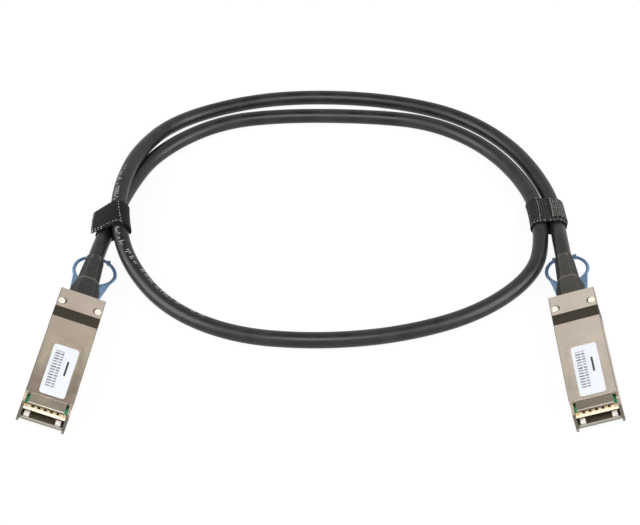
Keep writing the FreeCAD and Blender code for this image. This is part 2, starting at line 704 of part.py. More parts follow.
def makeCable(points, path, radii):
    radius = size("cableDiameter") / 2
    circle = Part.Wire([Part.makeCircle(radius, points[0], points[1] - points[0])])
    made = doc.addObject("Part::Feature", "cable")
    made.Label = "cable"
    made.Shape = path.makePipeShell([circle], True, True)
    print("cable length %.1f mm" % path.Length)
    print("cable bend radii " + ", ".join("%.0f" % value for value in radii))
    section = math.pi * radius ** 2
    print("volume over section times length %.5f" % (made.Shape.Volume / (section * path.Length)))
    return made


# ---- straps ------------------------------------------------------------------------

def strandsAt(path, place, side):
    """The two points where the cable crosses one station of a strap, from left to right."""
    reach = 4 * size("shellLength")
    corners = [Vector(reach * across, place, reach * up)
               for across, up in ((-1, -1), (1, -1), (1, 1), (-1, 1))]
    station = Part.Face(Part.makePolygon(corners + corners[:1]))
    crossings = [vertex.Point for vertex in path.section(station).Vertexes]
    return sorted((point for point in crossings if point.x * side > reach / 4), key=lambda point: point.x)


def racetrack(spots, radius):
    """Outline that goes round two strands: two half circles and the two lines between."""
    first, second = spots
    forward = (second - first).normalize() * radius
    aside = Vector(forward.z, 0, -forward.x)
    return Part.Wire([
        Part.LineSegment(first + aside, second + aside).toShape(),
        Part.Arc(second + aside, second + forward, second - aside).toShape(),
        Part.LineSegment(second - aside, first - aside).toShape(),
        Part.Arc(first - aside, first - forward, first + aside).toShape(),
    ])


def flapSection(strand, share, inside, outside):
    """The flap's section, which leaves the band where it passes over the upper strand."""
    reach = size("flapReachFront") * (1 - share) + size("flapReachBack") * share
    drop = size("flapDropFront") * (1 - share) + size("flapDropBack") * share
    sink = size("flapSink")
    span = math.hypot(reach, drop)
    rise = math.atan2(drop, reach) + math.asin(outside / span)
    along = Vector(math.cos(rise), 0, math.sin(rise)) * math.sqrt(span ** 2 - outside ** 2)
    up = Vector(-math.sin(rise), 0, math.cos(rise))
    low, high = strand + up * (inside + sink), strand + up * (outside - sink)
    return Part.makePolygon([low, high, high - along, low - along, low])


def makeStrap(name, path, side, flap=False):
    """A flat band wound round both strands, which follows them as they draw apart."""
    start, width = size(name + "StrapStart"), size(name + "StrapWidth")
    shares = (0, 0.25, 0.5, 0.75, 1)
    stations = [strandsAt(path, start + width * share, side) for share in shares]
    inside = size("cableDiameter") / 2 + size("strapFit")
    outside = inside + size("strapThickness")
    wound = Part.makeLoft([racetrack(spots, outside) for spots in stations], True, True)
    hollow = Part.makeLoft([racetrack(spots, inside) for spots in stations], True, True)
    shape = wound.cut(hollow)
    if flap:
        ends = [flapSection(spots[1], share, inside, outside) for spots, share in zip(stations, shares)]
        shape = shape.fuse(Part.makeLoft(ends, True, True))
    made = doc.addObject("Part::Feature", name + "_strap")
    made.Label = name + "_strap"
    made.Shape = shape
    return made


# ---- assembly ----------------------------------------------------------------------

MAKERS = (makeBaseShell, makeCoverShell, makeGasket, makeBoard, makeContacts, makeChips, makeRivets,
          makeLabel, makeLatchSlide, makePullTab, makeSprings, makeBoot, makeFerrule, makeWirePairs)


def plugPlacement(side):
    """The plug leans outwards on the rounded lower edge of its shell."""
    lean = math.radians(size("leanAngle"))
    edge = size("shellEdge")
    lift = ((size("shellWidth") / 2 - edge) * math.sin(lean)
            + (size("shellHeight") / 2 - edge) * math.cos(lean) + edge)
    roll = size("leanAngle") if side == "left" else -size("leanAngle")
    turn = Rotation(Vector(0, 0, 1), size(side + "Turn")) * Rotation(Vector(0, 1, 0), roll)
    return Placement(Vector(size(side + "Across"), size(side + "Along"), lift), turn)


subParts = []
for side in ("left", "right"):
    for make in MAKERS:
        piece = make(side)
        piece.Placement = plugPlacement(side)
        subParts.append(piece)
routePoints = [Vector(*point) for point in ROUTE]
cablePath, bendRadii = routePath(routePoints)
subParts.append(makeCable(routePoints, cablePath, bendRadii))
subParts.append(makeStrap("left", cablePath, -1, flap=True))
subParts.append(makeStrap("right", cablePath, 1))
doc.recompute()

for item in doc.Objects:
    if {"Invalid", "Error"} & set(item.State):
        raise ValueError(item.Name + " failed: " + str(item.State))
for piece in subParts:
    if piece.Shape.isNull() or not piece.Shape.isValid() or not piece.Shape.Solids:
        raise ValueError(piece.Label + " has no valid solid")

os.makedirs("parts", exist_ok=True)
for piece in subParts:
    piece.Shape.exportStep("parts/" + piece.Label + ".step")
print("wrote %d sub-parts" % len(subParts))
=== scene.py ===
import json
from math import asin, atan2, cos, hypot, pi, radians, sin, sqrt, tau

import bmesh
import bpy
from mathutils import Matrix, Vector


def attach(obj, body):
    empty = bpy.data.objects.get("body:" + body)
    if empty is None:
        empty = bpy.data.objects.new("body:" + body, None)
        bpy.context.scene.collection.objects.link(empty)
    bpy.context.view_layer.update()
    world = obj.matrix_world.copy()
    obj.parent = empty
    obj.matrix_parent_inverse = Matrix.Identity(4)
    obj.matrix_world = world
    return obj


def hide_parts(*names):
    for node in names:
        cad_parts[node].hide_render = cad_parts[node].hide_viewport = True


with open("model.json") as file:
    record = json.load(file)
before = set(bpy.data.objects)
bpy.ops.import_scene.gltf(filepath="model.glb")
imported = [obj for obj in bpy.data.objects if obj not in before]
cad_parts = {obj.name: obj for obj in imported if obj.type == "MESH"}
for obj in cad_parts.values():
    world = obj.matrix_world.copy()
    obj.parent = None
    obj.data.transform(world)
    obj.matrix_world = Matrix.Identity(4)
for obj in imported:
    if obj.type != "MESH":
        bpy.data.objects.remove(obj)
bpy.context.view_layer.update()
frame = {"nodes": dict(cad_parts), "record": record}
print("frame loaded")

# view, floor and light, in metres and degrees
studioView = {"target": Vector((-0.000206, 0.04593, 0.0)), "elevation": 45.0, "distance": 0.589, "lens": 79.9}
studioLight = {
    "ambient": 0.18,  # what matt surfaces get from the room
    "lamps": {  # place, size and power of each
        "leftLight": ((-0.55, -0.10, 0.34), 0.50, 4.6),
        "rightLight": ((0.55, -0.10, 0.34), 0.50, 4.6),
        "frontLight": ((0.0, -0.34, 0.62), 0.22, 2.6),
    },
    "overhead": (0.80, 0.95, 0.12),  # the room grows darker between these two heights, down to this level
    "floorHalf": 3.0, "floorColor": (0.93, 0.93, 0.93),
    "floorWhite": 0.90,  # how far the floor's shadows are lifted for the camera and in reflections
}
white = (1.0, 1.0, 1.0)

# the two plugs: where each one's own frame stands, and how it turns and leans
plugs = {
    "left": {"place": (-0.09484, 0.01735, 0.007019), "turn": -7.0, "lean": 20.0},
    "right": {"place": (0.10028, 0.01825, 0.007019), "turn": 1.8, "lean": -20.0},
}


def plugMatrix(side):
    plug = plugs[side]
    return (Matrix.Translation(plug["place"]) @ Matrix.Rotation(radians(plug["turn"]), 4, "Z")
            @ Matrix.Rotation(radians(plug["lean"]), 4, "Y"))


# short ways to build node trees: a node joins the tree of the first socket among its inputs

def feed(value, socket):
    if isinstance(value, bpy.types.NodeSocket):
        socket.id_data.links.new(value, socket)
    elif isinstance(value, tuple) and socket.type == "RGBA":
        socket.default_value = (*value[:3], 1.0)
    else:
        socket.default_value = value


def put(kind, inputs, tree=None, **settings):
    tree = tree or next(value.id_data for value in inputs.values() if isinstance(value, bpy.types.NodeSocket))
    made = tree.nodes.new("ShaderNode" + kind)
    for name, value in settings.items():
        setattr(made, name, value)
    for name, value in inputs.items():
        feed(value, made.inputs[name])
    return made.outputs


def worked(operation, *values):
    return put("Math", dict(enumerate(values)), operation=operation)[0]


def times(*values):
    product = values[0]
    for value in values[1:]:
        product = worked("MULTIPLY", product, value)
    return product


def isOver(value, limit):
    return worked("GREATER_THAN", value, limit)


def isUnder(value, limit):
    return worked("LESS_THAN", value, limit)


def vectored(operation, first, second):
    made = put("VectorMath", {0: first, 1: second}, operation=operation)
    return made["Value" if operation in ("DISTANCE", "DOT_PRODUCT") else "Vector"]


def parted(place):
    return put("SeparateXYZ", {0: place})


def joined(x, y, z=0.0):
    return put("CombineXYZ", {0: x, 1: y, 2: z})[0]


def mixed(mask, first, second, blend="MIX"):
    return put("Mix", {0: mask, 6: first, 7: second}, data_type="RGBA", blend_type=blend)[2]


def ranged(value, low, high, newLow=0.0, newHigh=1.0):
    return put("MapRange", {"Value": value, "From Min": low, "From Max": high, "To Min": newLow,
                            "To Max": newHigh})["Result"]


def varied(value, low, high):
    # the common spread of a noise brought between two values
    return ranged(value, 0.3, 0.7, low, high)


def noise(place, scale, detail, rough=0.5):
    return put("TexNoise", {"Vector": place, "Scale": scale, "Detail": detail, "Roughness": rough})["Fac"]


def bevelMask(material):
    return put("Attribute", {}, material.node_tree, attribute_name="bevelFaces")["Fac"]


def flatMap(material):
    return put("UVMap", {}, material.node_tree, uv_map="flat")[0]


def tint(red, green, blue):
    return tuple(((part / 255 + 0.055) / 1.055) ** 2.4 for part in (red, green, blue))


def surfaceOf(material):
    return material.node_tree.nodes["Principled BSDF"].inputs


def newFinish(name, side=None, **fixed):
    # a material, and the place that its patterns read: in a plug's own frame or in the room's
    material = bpy.data.materials.new(name if side is None else side + name[0].upper() + name[1:])
    material.use_nodes = True
    for label, value in fixed.items():
        feed(value, surfaceOf(material)[label.replace("_", " ")])
    place = put("TexCoord", {}, material.node_tree)["Object"]
    if side is not None:
        matrix = plugMatrix(side)
        place = put("Mapping", {"Vector": place, "Location": matrix.to_translation(),
                                "Rotation": matrix.to_euler()}, vector_type="TEXTURE")[0]
    return material, place


def finished(material, color, relief=None, **linked):
    # joins colour, relief (height, depth, strength) and any other pattern to the surface
    if relief:
        linked["Normal"] = put("Bump", dict(zip(("Height", "Distance", "Strength"), relief)))["Normal"]
    for label, value in {"Base Color": color, **linked}.items():
        feed(value, surfaceOf(material)[label])
    return material


def newObject(name, data):
    made = bpy.data.objects.new(name, data)
    bpy.context.collection.objects.link(made)
    return made


def newPiece(name, shape):
    mesh = bpy.data.meshes.new(name)
    shape.to_mesh(mesh)
    shape.free()
    return newObject(name, mesh)


# camera, room, floor and lamps

def makeCamera():
    view = studioView
    lens = bpy.data.cameras.new("studioCamera")
    lens.lens = view["lens"]
    lens.clip_start = 0.01
    camera = newObject("studioCamera", lens)
    rise = radians(view["elevation"])
    camera.location = view["target"] + Vector((0, -cos(rise), sin(rise))) * view["distance"]
    camera.rotation_euler = (radians(90 - view["elevation"]), 0, 0)
    bpy.context.scene.camera = camera


def seenDirectly(tree):
    # 1 for rays from the camera and for those that metal or glass sends on
    path = put("LightPath", {}, tree)
    direct = worked("MAXIMUM", path["Is Camera Ray"], path["Is Glossy Ray"])
    return worked("MAXIMUM", direct, path["Is Transmission Ray"])


def makeWorld():
    world = bpy.data.worlds.new("studioWorld")
    world.use_nodes = True
    tree = world.node_tree
    tree.nodes.clear()
    low, high, dark = studioLight["overhead"]
    height = parted(put("NewGeometry", {}, tree)["Position"])[2]
    fromCamera = put("LightPath", {}, tree)["Is Camera Ray"]
    room = worked("MAXIMUM", ranged(height, low, high, 1.0, dark), fromCamera)
    level = put("Mix", {0: seenDirectly(tree), 2: studioLight["ambient"], 3: room})[0]
    put("OutputWorld", {"Surface": put("Background", {"Color": white, "Strength": level})[0]})
    bpy.context.scene.world = world


def makeFloor():
    shape = bmesh.new()
    bmesh.ops.create_grid(shape, x_segments=1, y_segments=1, size=studioLight["floorHalf"])
    floor = newPiece("studioFloor", shape)
    material = newFinish("studioFloor", Base_Color=studioLight["floorColor"], Roughness=0.9,
                         Specular_IOR_Level=0.0)[0]
    tree = material.node_tree
    glow = put("Emission", {"Color": white, "Strength": 1.0}, tree)[0]
    share = times(seenDirectly(tree), studioLight["floorWhite"])
    both = put("MixShader", {0: share, 1: tree.nodes["Principled BSDF"].outputs[0], 2: glow})[0]
    feed(both, tree.nodes["Material Output"].inputs["Surface"])
    floor.data.materials.append(material)


def makeLamp(name, place, size, power):
    lamp = bpy.data.lights.new(name, "AREA")
    lamp.shape = "SQUARE"
    lamp.size = size
    lamp.energy = power
    light = newObject(name, lamp)
    light.location = place
    light.rotation_euler = (studioView["target"] - light.location).to_track_quat("-Z", "Y").to_euler()


bpy.context.scene.view_settings.view_transform = "Standard"
makeCamera()
makeWorld()
makeFloor()
for name, lamp in studioLight["lamps"].items():
    makeLamp(name, *lamp)
print("studio ready")


# effects that several finishes share

def nodeGroup(name, vectors, numbers, gives):
    tree = bpy.data.node_groups.new(name, "ShaderNodeTree")
    ways = (("INPUT", "Vector", vectors), ("INPUT", "Float", numbers), ("OUTPUT", "Float", gives))
    for way, kind, labels in ways:
        for label in labels:
            tree.interface.new_socket(label, in_out=way, socket_type="NodeSocket" + kind)
    return tree.nodes.new("NodeGroupInput").outputs, tree.nodes.new("NodeGroupOutput").inputs


def makeGrain():
    # fine cast or rolled grain with soft clouds and a few long rub marks
    given, out = nodeGroup("grain", ["Place"], ["Grain Size", "Cloud Size", "Stretch"],
                           ["Grain", "Clouds", "Rubs"])
    place = given["Place"]
    drawn = vectored("MULTIPLY", place, joined(1.0, given["Stretch"], 1.0))
    marks = noise(vectored("MULTIPLY", place, (1.0, 0.06, 1.0)), 900.0, 2.0)
    feed(noise(drawn, given["Grain Size"], 3.0), out["Grain"])
    feed(noise(place, given["Cloud Size"], 4.0, 0.55), out["Clouds"])
    feed(ranged(marks, 0.62, 0.70), out["Rubs"])


def makeInside():
    # 1 inside a box between two corners
    given, out = nodeGroup("insideBox", ["Place", "Low", "High"], [], ["Mask"])
    room = vectored("MINIMUM", vectored("SUBTRACT", given["Place"], given["Low"]),
                    vectored("SUBTRACT", given["High"], given["Place"]))
    x, y, z = parted(room)
    least = worked("MINIMUM", worked("MINIMUM", x, y), z)
    feed(isOver(least, 0.0), out["Mask"])


def makeDust():
    # sparse pale specks
    given, out = nodeGroup("dust", ["Place"], ["Size", "Amount"], ["Specks"])
    cells = put("TexVoronoi", {"Vector": given["Place"], "Scale": given["Size"], "Randomness": 1.0})
    near = ranged(cells["Distance"], 0.10, 0.20, 1.0, 0.0)
    chosen = put("SeparateColor", {0: cells["Color"]})[0]
    feed(times(near, isUnder(chosen, given["Amount"])), out["Specks"])


def makeWeave():
    # plain weave on a flat pattern in metres: threads that pass over and under
    given, out = nodeGroup("weave", ["Flat"], ["Thread"], ["Height", "Shade"])
    counts = [worked("DIVIDE", part, given["Thread"]) for part in parted(given["Flat"])[:2]]
    ridges = [worked("ABSOLUTE", worked("SINE", times(count, pi))) for count in counts]
    both = worked("ADD", *(worked("FLOOR", count) for count in counts))
    over = isOver(worked("MODULO", worked("ABSOLUTE", both), 2.0), 0.5)
    height = worked("ADD", times(ridges[0], over), times(ridges[1], worked("SUBTRACT", 1.0, over)))
    fuzz = varied(noise(given["Flat"], 1500.0, 4.0), 0.5, 1.0)
    feed(height, out["Height"])
    feed(times(height, fuzz), out["Shade"])


def makePrint():
    # plain bars chosen at random: Run goes along the row, in metres
    given, out = nodeGroup("printedBars", [], ["Run", "Pitch", "Share"], ["Ink"])
    step = worked("FLOOR", worked("DIVIDE", given["Run"], given["Pitch"]))
    chance = put("TexWhiteNoise", {"W": step}, noise_dimensions="1D")["Value"]
    feed(isUnder(chance, given["Share"]), out["Ink"])


for make in (makeGrain, makeInside, makeDust, makeWeave, makePrint):
    make()


def grouped(name, *values):
    return put("Group", dict(enumerate(values)), node_tree=bpy.data.node_groups[name])


def grained(place, grainSize, cloudSize, stretch=1.0):
    return grouped("grain", place, grainSize, cloudSize, stretch)


def boxed(place, low, high):
    return grouped("insideBox", place, low, high)[0]


def barred(run, pitch, share):
    return grouped("printedBars", run, pitch, share)[0]


def clouded(look, dark, light):
    return mixed(ranged(look["Clouds"], 0.35, 0.65), dark, light)


def dusted(place, color, size, amount, share, tone):
    return mixed(times(grouped("dust", place, size, amount)[0], share), color, tone)


nickel = {
    # painted shade: the left shell is painted darker than the right, and each grows darker from the rear
    # towards the front
    "left": {"rear": tint(191, 177, 164), "middle": tint(180, 167, 150), "front": tint(144, 130, 117)},
    "right": {"rear": tint(201, 192, 177), "middle": tint(197, 185, 171), "front": tint(188, 176, 162)},
    # lit and shaded tones of the one nickel, painted: the tongue, the edge, the bay and the jambs darker as
    # painted shade; the notch rims, the lip and the studs lighter as painted highlights
    "tongue": tint(69, 64, 56), "rim": tint(184, 176, 162), "edge": tint(92, 86, 76),
    "lip": tint(146, 143, 134), "bay": tint(60, 55, 43), "jamb": tint(118, 112, 104),
    "stud": tint(206, 203, 197),
    "grain": (5200.0, 110.0, 0.25),
    "drift": 0.02,  # how far the clouds push the soft borders between the tones
    "rearFade": (-0.004, -0.018), "frontFade": (-0.030, -0.050),
    "edgeShadeBand": (0.00884, 0.0020, 0.6),  # painted shade along the long edges: its side, its lowest place and its strength
    # the bevels are painted in the edge tone as painted shade, this strongly
    "bevelShade": 0.85, "roughness": (0.30, 0.44),
    # boxes of other tones, alike on both sides, so across the plug they count from the middle outwards
    # the tongue's top, painted dark as painted shade
    "tongueTop": ((-0.0069, -0.0566, 0.0), (0.0069, -0.05335, 0.01)),
    "paints": (  # painted light and shade on the tongue's cut end, the notches, the bay under the board, the nose, its jambs and studs
        ((-0.0072, -0.0567, 0.0010), (0.0072, -0.0562, 0.0032), "jamb"),
        ((0.0079, -0.0556, -0.0010), (0.0093, -0.0530, 0.0046), "rim"),
        ((-0.00803, -0.0590, -0.0045), (0.00803, -0.0480, 0.0009), "bay"),
        ((-0.00805, -0.05985, -0.00318), (0.00805, -0.0590, -0.00300), "bay"),
        ((-0.0100, -0.0615, -0.0046), (0.0100, -0.05905, -0.0031), "lip"),
        ((0.0080, -0.0600, -0.0040), (0.0100, -0.0570, 0.0020), "jamb"),
        ((0.0050, -0.0592, -0.0031), (0.0072, -0.0568, 0.0), "stud"),
    ),
    "shadedBay": ((-0.00803, -0.0600, -0.0033), (0.00803, -0.0480, 0.0009)),  # the bay, painted in shade, which doesn't shine
}


def nickelFinish(side):
    material, place = newFinish("nickelShell", side)
    x, y, z = parted(place)
    x = worked("ABSOLUTE", x)
    folded = joined(x, y, z)
    look = grained(place, *nickel["grain"])
    tones = nickel[side]
    drift = worked("MULTIPLY_ADD", worked("SUBTRACT", look["Clouds"], 0.5), nickel["drift"], y)
    # painted shade: darker from the rear towards the front
    color = mixed(ranged(drift, *nickel["rearFade"]), tones["rear"], tones["middle"])
    color = mixed(ranged(drift, *nickel["frontFade"]), color, tones["front"])
    # a band of painted shade along the long edges, in the edge tone
    aside, low, strength = nickel["edgeShadeBand"]
    band = times(isOver(x, aside), isOver(z, low), strength)
    color = mixed(band, color, nickel["edge"])
    # the tongue's top in painted shade
    color = mixed(boxed(folded, *nickel["tongueTop"]), color, nickel["tongue"])
    level = times(varied(look["Grain"], 0.93, 1.05), varied(look["Clouds"], 0.95, 1.04))
    color = mixed(1.0, color, joined(level, level, level), "MULTIPLY")
    # the bevels painted in the edge tone, as painted shade
    color = mixed(times(bevelMask(material), nickel["bevelShade"]), color, nickel["edge"])
    # the nose's painted light and shade
    for low, high, paint in nickel["paints"]:
        color = mixed(boxed(folded, low, high), color, nickel[paint])
    # the bay's painted shade gets no metal, so that it stays dark
    shinesOutsideBay = worked("SUBTRACT", 1.0, boxed(folded, *nickel["shadedBay"]))
    height = worked("ADD", look["Grain"], times(look["Rubs"], -0.4))
    return finished(material, color, (height, 0.00001, 0.35), Metallic=shinesOutsideBay,
                    Roughness=varied(look["Clouds"], *nickel["roughness"]))


gasketLook = {"thread": 0.00042, "slant": 45, "dark": tint(25, 21, 14), "light": tint(55, 48, 36)}


def gasketFinish(side):
    material, place = newFinish("gasketBand", side, Metallic=0.2, Roughness=0.6, Specular_IOR_Level=0.3)
    x, y, z = parted(place)
    slant = (0.0, 0.0, radians(gasketLook["slant"]))
    turned = put("Mapping", {"Vector": joined(worked("ADD", x, z), y), "Rotation": slant})[0]
    cloth = grouped("weave", turned, gasketLook["thread"])
    color = mixed(cloth["Shade"], gasketLook["dark"], gasketLook["light"])
    return finished(material, color, (cloth["Height"], 0.00004, 0.6))


# the shade tone is painted shade under the tongue
padLook = {"pad": tint(226, 204, 170), "ground": tint(58, 42, 28), "copper": tint(212, 158, 112),
           "third": 0.0012, "gapHalf": 0.00055, "gapFront": -0.0569, "outer": 0.0066, "tinned": -0.0558}
boardLook = {"mask": tint(46, 160, 110), "maskDark": tint(24, 120, 80), "laminate": tint(220, 203, 174),
             "milled": -0.0561, "cloth": 0.0005}


def groundPads(x, y):
    # every third pitch, where the ground pads stand, painted in shade under the tongue and a little in front
    # of it
    near = isUnder(worked("PINGPONG", x, padLook["third"]), padLook["gapHalf"])
    return times(near, isOver(y, padLook["gapFront"]))


def boardFinish(side):
    material, place = newFinish("laminateBoard", side, Coat_Weight=0.3)
    x, y = parted(place)[:2]
    look = grained(place, 2600.0, 700.0)
    cross = grouped("weave", place, boardLook["cloth"])
    green = ranged(look["Clouds"], 0.4, 0.6)
    color = mixed(green, boardLook["maskDark"], boardLook["mask"])
    color = mixed(times(cross["Shade"], 0.12), color, boardLook["laminate"])
    color = mixed(isUnder(y, boardLook["milled"]), color, boardLook["laminate"])
    # the painted shade under the tongue reaches the board between the pads
    inner = isUnder(worked("ABSOLUTE", x), padLook["outer"])
    color = mixed(times(groundPads(x, y), inner), color, padLook["ground"])
    return finished(material, color, (cross["Height"], 0.00001, 0.4),
                    Roughness=varied(look["Grain"], 0.28, 0.42))


def padFinish(side):
    # gold, with painted shade under the tongue at every third pitch, and bare copper at both ends of the row
    material, place = newFinish("goldPads", side, Metallic=0.15)
    x, y = parted(place)[:2]
    look = grained(place, 5000.0, 900.0, 0.3)
    outer = isOver(worked("ABSOLUTE", x), padLook["outer"])
    color = mixed(groundPads(x, y), padLook["pad"], padLook["ground"])
    color = mixed(outer, color, padLook["copper"])
    color = mixed(times(outer, isOver(y, padLook["tinned"])), color, boardLook["mask"])
    return finished(material, color, (look["Grain"], 0.000008, 0.4),
                    Roughness=varied(look["Clouds"], 0.22, 0.42))


# the label carries plain bars, two faint rules and a stripe: left, right, front and back of each
labelLook = {
    "film": tint(202, 205, 211), "ink": tint(40, 39, 40), "pale": tint(188, 186, 184),
    "code": (-0.0033, 0.0002, -0.0482, -0.0305),
    "gap": (-0.00135, -0.00105, -0.0482, -0.0305),
    "rules": ((-0.0040, -0.00365, -0.0435, -0.0345), (0.0009, 0.00125, -0.0425, -0.0330)),
    "stripe": (0.0021, 0.0029, -0.0415, -0.0345),
    "barPitch": 0.00132, "barWidth": 0.00078,
    "codeBars": (0.00026, 0.5), "ruleBars": (0.00035, 0.6),  # width of a bar and the share that is printed
    "codeInk": (0.55, 0.9),  # how dark the gaps and the bars of the code are
}


def labelFinish(side):
    material, place = newFinish("labelFilm", side, Roughness=0.42, Coat_Weight=0.2)
    run = parted(place)[1]

    def patch(left, right, front, back):
        return boxed(place, (left, front, 0.0), (right, back, 0.01))
    step = worked("MODULO", worked("ABSOLUTE", run), labelLook["barPitch"])
    block = worked("SUBTRACT", patch(*labelLook["code"]), patch(*labelLook["gap"]))
    rubbedAndHighlit = noise(place, 700.0, 2.0)
    code = times(block, isUnder(step, labelLook["barWidth"]),
                 ranged(barred(run, *labelLook["codeBars"]), 0.0, 1.0, *labelLook["codeInk"]),
                 ranged(rubbedAndHighlit, 0.35, 0.55, 0.8, 1.0))
    color = mixed(code, labelLook["film"], labelLook["ink"])
    fine = barred(run, *labelLook["ruleBars"])
    for rule in labelLook["rules"]:
        color = mixed(times(patch(*rule), fine), color, labelLook["pale"])
    color = mixed(patch(*labelLook["stripe"]), color, labelLook["ink"])
    return finished(material, color, (rubbedAndHighlit, 0.00002, 0.15))


tabShape = {
    "start": 0.0006, "half": 0.0052, "sheet": 0.0010, "ringPlace": 0.0175, "ringRadius": 0.0084,
    "ringSection": 0.0015, "ringThick": 0.0011, "ringBevel": 0.00036, "height": -0.0038, "webRise": 0.0013,
    "nubPlace": 0.0044, "nubWidth": 0.0012, "nubReach": 0.0006, "webSteps": 28, "ringSteps": 96,
    "stretch": (0.0203, 0.90),  # where the oval ring's middle comes to lie, and its length over its width
    "root": 0.3,  # the share of the way to the ring that stays at the shell
    "aside": {"left": 0.0014, "right": -0.0001},  # how far the soft ring is bent to one side
    "twist": {"left": 0.055, "right": -0.030},  # rise across the ring, clear of the table
    "shear": {"left": (0.0, 0.0), "right": (-0.0005, -0.09)},  # shift along the plug, and its change across
    "voxel": 0.00020, "smooth": 4,
}
# the low parts in the shade tone as painted shade, the ring's outer part pale as a painted highlight
blueLook = {"shade": tint(58, 86, 122), "body": tint(80, 110, 142), "pale": tint(118, 145, 170),
            "lowFade": (-0.0043, -0.0033), "ringFade": (0.0078, 0.0086, 0.0, 0.6)}


def blueFinish(side):
    material, place = newFinish("bluePlastic", side, Roughness=0.38, Subsurface_Weight=0.15,
                                Subsurface_Scale=0.001)
    look = grained(place, 2400.0, 160.0)
    lit = ranged(parted(place)[2], *blueLook["lowFade"])
    color = mixed(lit, blueLook["shade"], blueLook["body"])
    middle = (tabShape["aside"][side], tabShape["stretch"][0], tabShape["height"])
    fromMiddle = vectored("DISTANCE", place, middle)
    # the ring's outer part painted pale, as a painted highlight
    color = mixed(ranged(fromMiddle, *blueLook["ringFade"]), color, blueLook["pale"])
    color = mixed(ranged(look["Clouds"], 0.45, 0.75, 0.0, 0.35), color, blueLook["shade"])
    return finished(material, color, (look["Grain"], 0.00002, 0.3))


# each boot's top tone: the left is painted darker than the right, as painted shade
rubberLook = {"left": tint(34, 33, 31), "right": tint(52, 50, 47), "side": tint(10, 9, 9),
              # a pale tone for the dust specks, the painted highlights on the edges and the pale crease
              "crease": tint(124, 120, 114), "creaseLevel": 0.8,
              "sideShadeFade": (0.92, 0.70, 0.0, 0.72)}  # painted shade, as a face turns away from the flat top


def rubberFinish(side):
    material, place = newFinish("mouldedRubber", side, Specular_IOR_Level=0.35)
    # the top tone of this side, painted darker on the left as painted shade
    top = rubberLook[side]
    look = grained(place, 3600.0, 220.0)
    color = clouded(look, tuple(part * 0.70 for part in top), top)
    # the bevelled sides are painted darker than the flat top, as painted shade
    facing = vectored("DOT_PRODUCT", put("NewGeometry", {}, material.node_tree)["Normal"],
                      plugMatrix(side).to_3x3() @ Vector((0, 0, 1)))
    color = mixed(ranged(facing, *rubberLook["sideShadeFade"]), color, rubberLook["side"])
    color = dusted(place, color, 900.0, 0.10, 0.35, rubberLook["crease"])
    # the bevels painted pale: painted highlights on the edges, and the crease pale
    color = mixed(times(bevelMask(material), rubberLook["creaseLevel"]), color, rubberLook["crease"])
    return finished(material, color, (look["Grain"], 0.00003, 0.35),
                    Roughness=varied(look["Clouds"], 0.38, 0.55))


# tone and metal of each bare metal part
steelLook = {"springSteel": (tint(206, 201, 192), 1.0), "stakedRivet": (tint(240, 234, 220), 0.5),
             "copperSleeve": (tint(206, 150, 104), 1.0), "worn": tint(248, 242, 230)}


def steelFinish(side, name="springSteel"):
    tone, metal = steelLook[name]
    material, place = newFinish(name, side, Metallic=metal)
    look = grained(place, 4200.0, 500.0, 0.2)
    color = clouded(look, tuple(part * 0.8 for part in tone), tone)
    color = mixed(bevelMask(material), color, steelLook["worn"])
    return finished(material, color, (look["Grain"], 0.00001, 0.4),
                    Roughness=varied(look["Grain"], 0.22, 0.36))


def chipFinish(side):
    material, place = newFinish("chipPlastic", side)
    look = grained(place, 6000.0, 800.0)
    return finished(material, mixed(look["Clouds"], tint(28, 28, 30), tint(48, 47, 46)),
                    (look["Grain"], 0.00002, 0.4), Roughness=varied(look["Grain"], 0.45, 0.6))


def wireFinish(side):
    material, place = newFinish("wireInsulation", side)
    look = grained(place, 2500.0, 500.0, 0.3)
    alternate = isOver(worked("SINE", times(parted(place)[0], 2600.0)), 0.0)
    return finished(material, mixed(alternate, tint(120, 140, 190), tint(226, 226, 224)),
                    Roughness=varied(look["Clouds"], 0.32, 0.48))


makers = {
    "zinc_shell": nickelFinish, "gasket_mesh": gasketFinish, "green_board": boardFinish,
    "gold_plate": padFinish, "chip_plastic": chipFinish, "bright_steel": steelFinish,
    "label_film": labelFinish, "blue_plastic": blueFinish, "black_rubber": rubberFinish,
    "copper_sleeve": lambda side: steelFinish(side, "copperSleeve"), "wire_insulation": wireFinish,
}
finishes = {(side, slot): make(side) for side in plugs for slot, make in makers.items()}
slotOf = {part["node"]: part["material_slot"] for part in frame["record"]["subparts"]}
for name, node in frame["nodes"].items():
    key = (name.split("_")[0], slotOf[name])
    if key in finishes:
        node.data.materials.clear()
        node.data.materials.append(finishes[key])
print("finishes made")


# tools for shapes

def finishPiece(piece, slot, material, nodes, angle, evened=False, body="cable_assembly"):
    piece.data.materials.append(material)
    piece.data.shade_smooth()
    piece.data.set_sharp_from_angle(angle=radians(angle))
    if evened:
        piece.modifiers.new("evenNormals", "WEIGHTED_NORMAL").keep_sharp = True
    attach(piece, body)
    if nodes:
        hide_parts(*nodes)
    return piece


def plugPiece(shape, side, name, slot, node, angle, **more):
    # turns a shape out of its plug's own frame and dresses it
    shape.transform(plugMatrix(side))
    material = more.pop("material", None) or finishes[side, slot]
    return finishPiece(newPiece(side + name, shape), slot, material, [side + "_" + node], angle, **more)


def evenOut(shape):
    bmesh.ops.recalc_face_normals(shape, faces=shape.faces)


def move(shape, verts, *way):
    bmesh.ops.translate(shape, verts=verts, vec=way)


def vertsOf(found):
    return [item for item in found if isinstance(item, bmesh.types.BMVert)]


def drawLine(shape, places, closed):
    line = [shape.verts.new(place) for place in places]
    return line, [shape.edges.new(pair) for pair in zip(line, line[1:] + (line[:1] if closed else []))]


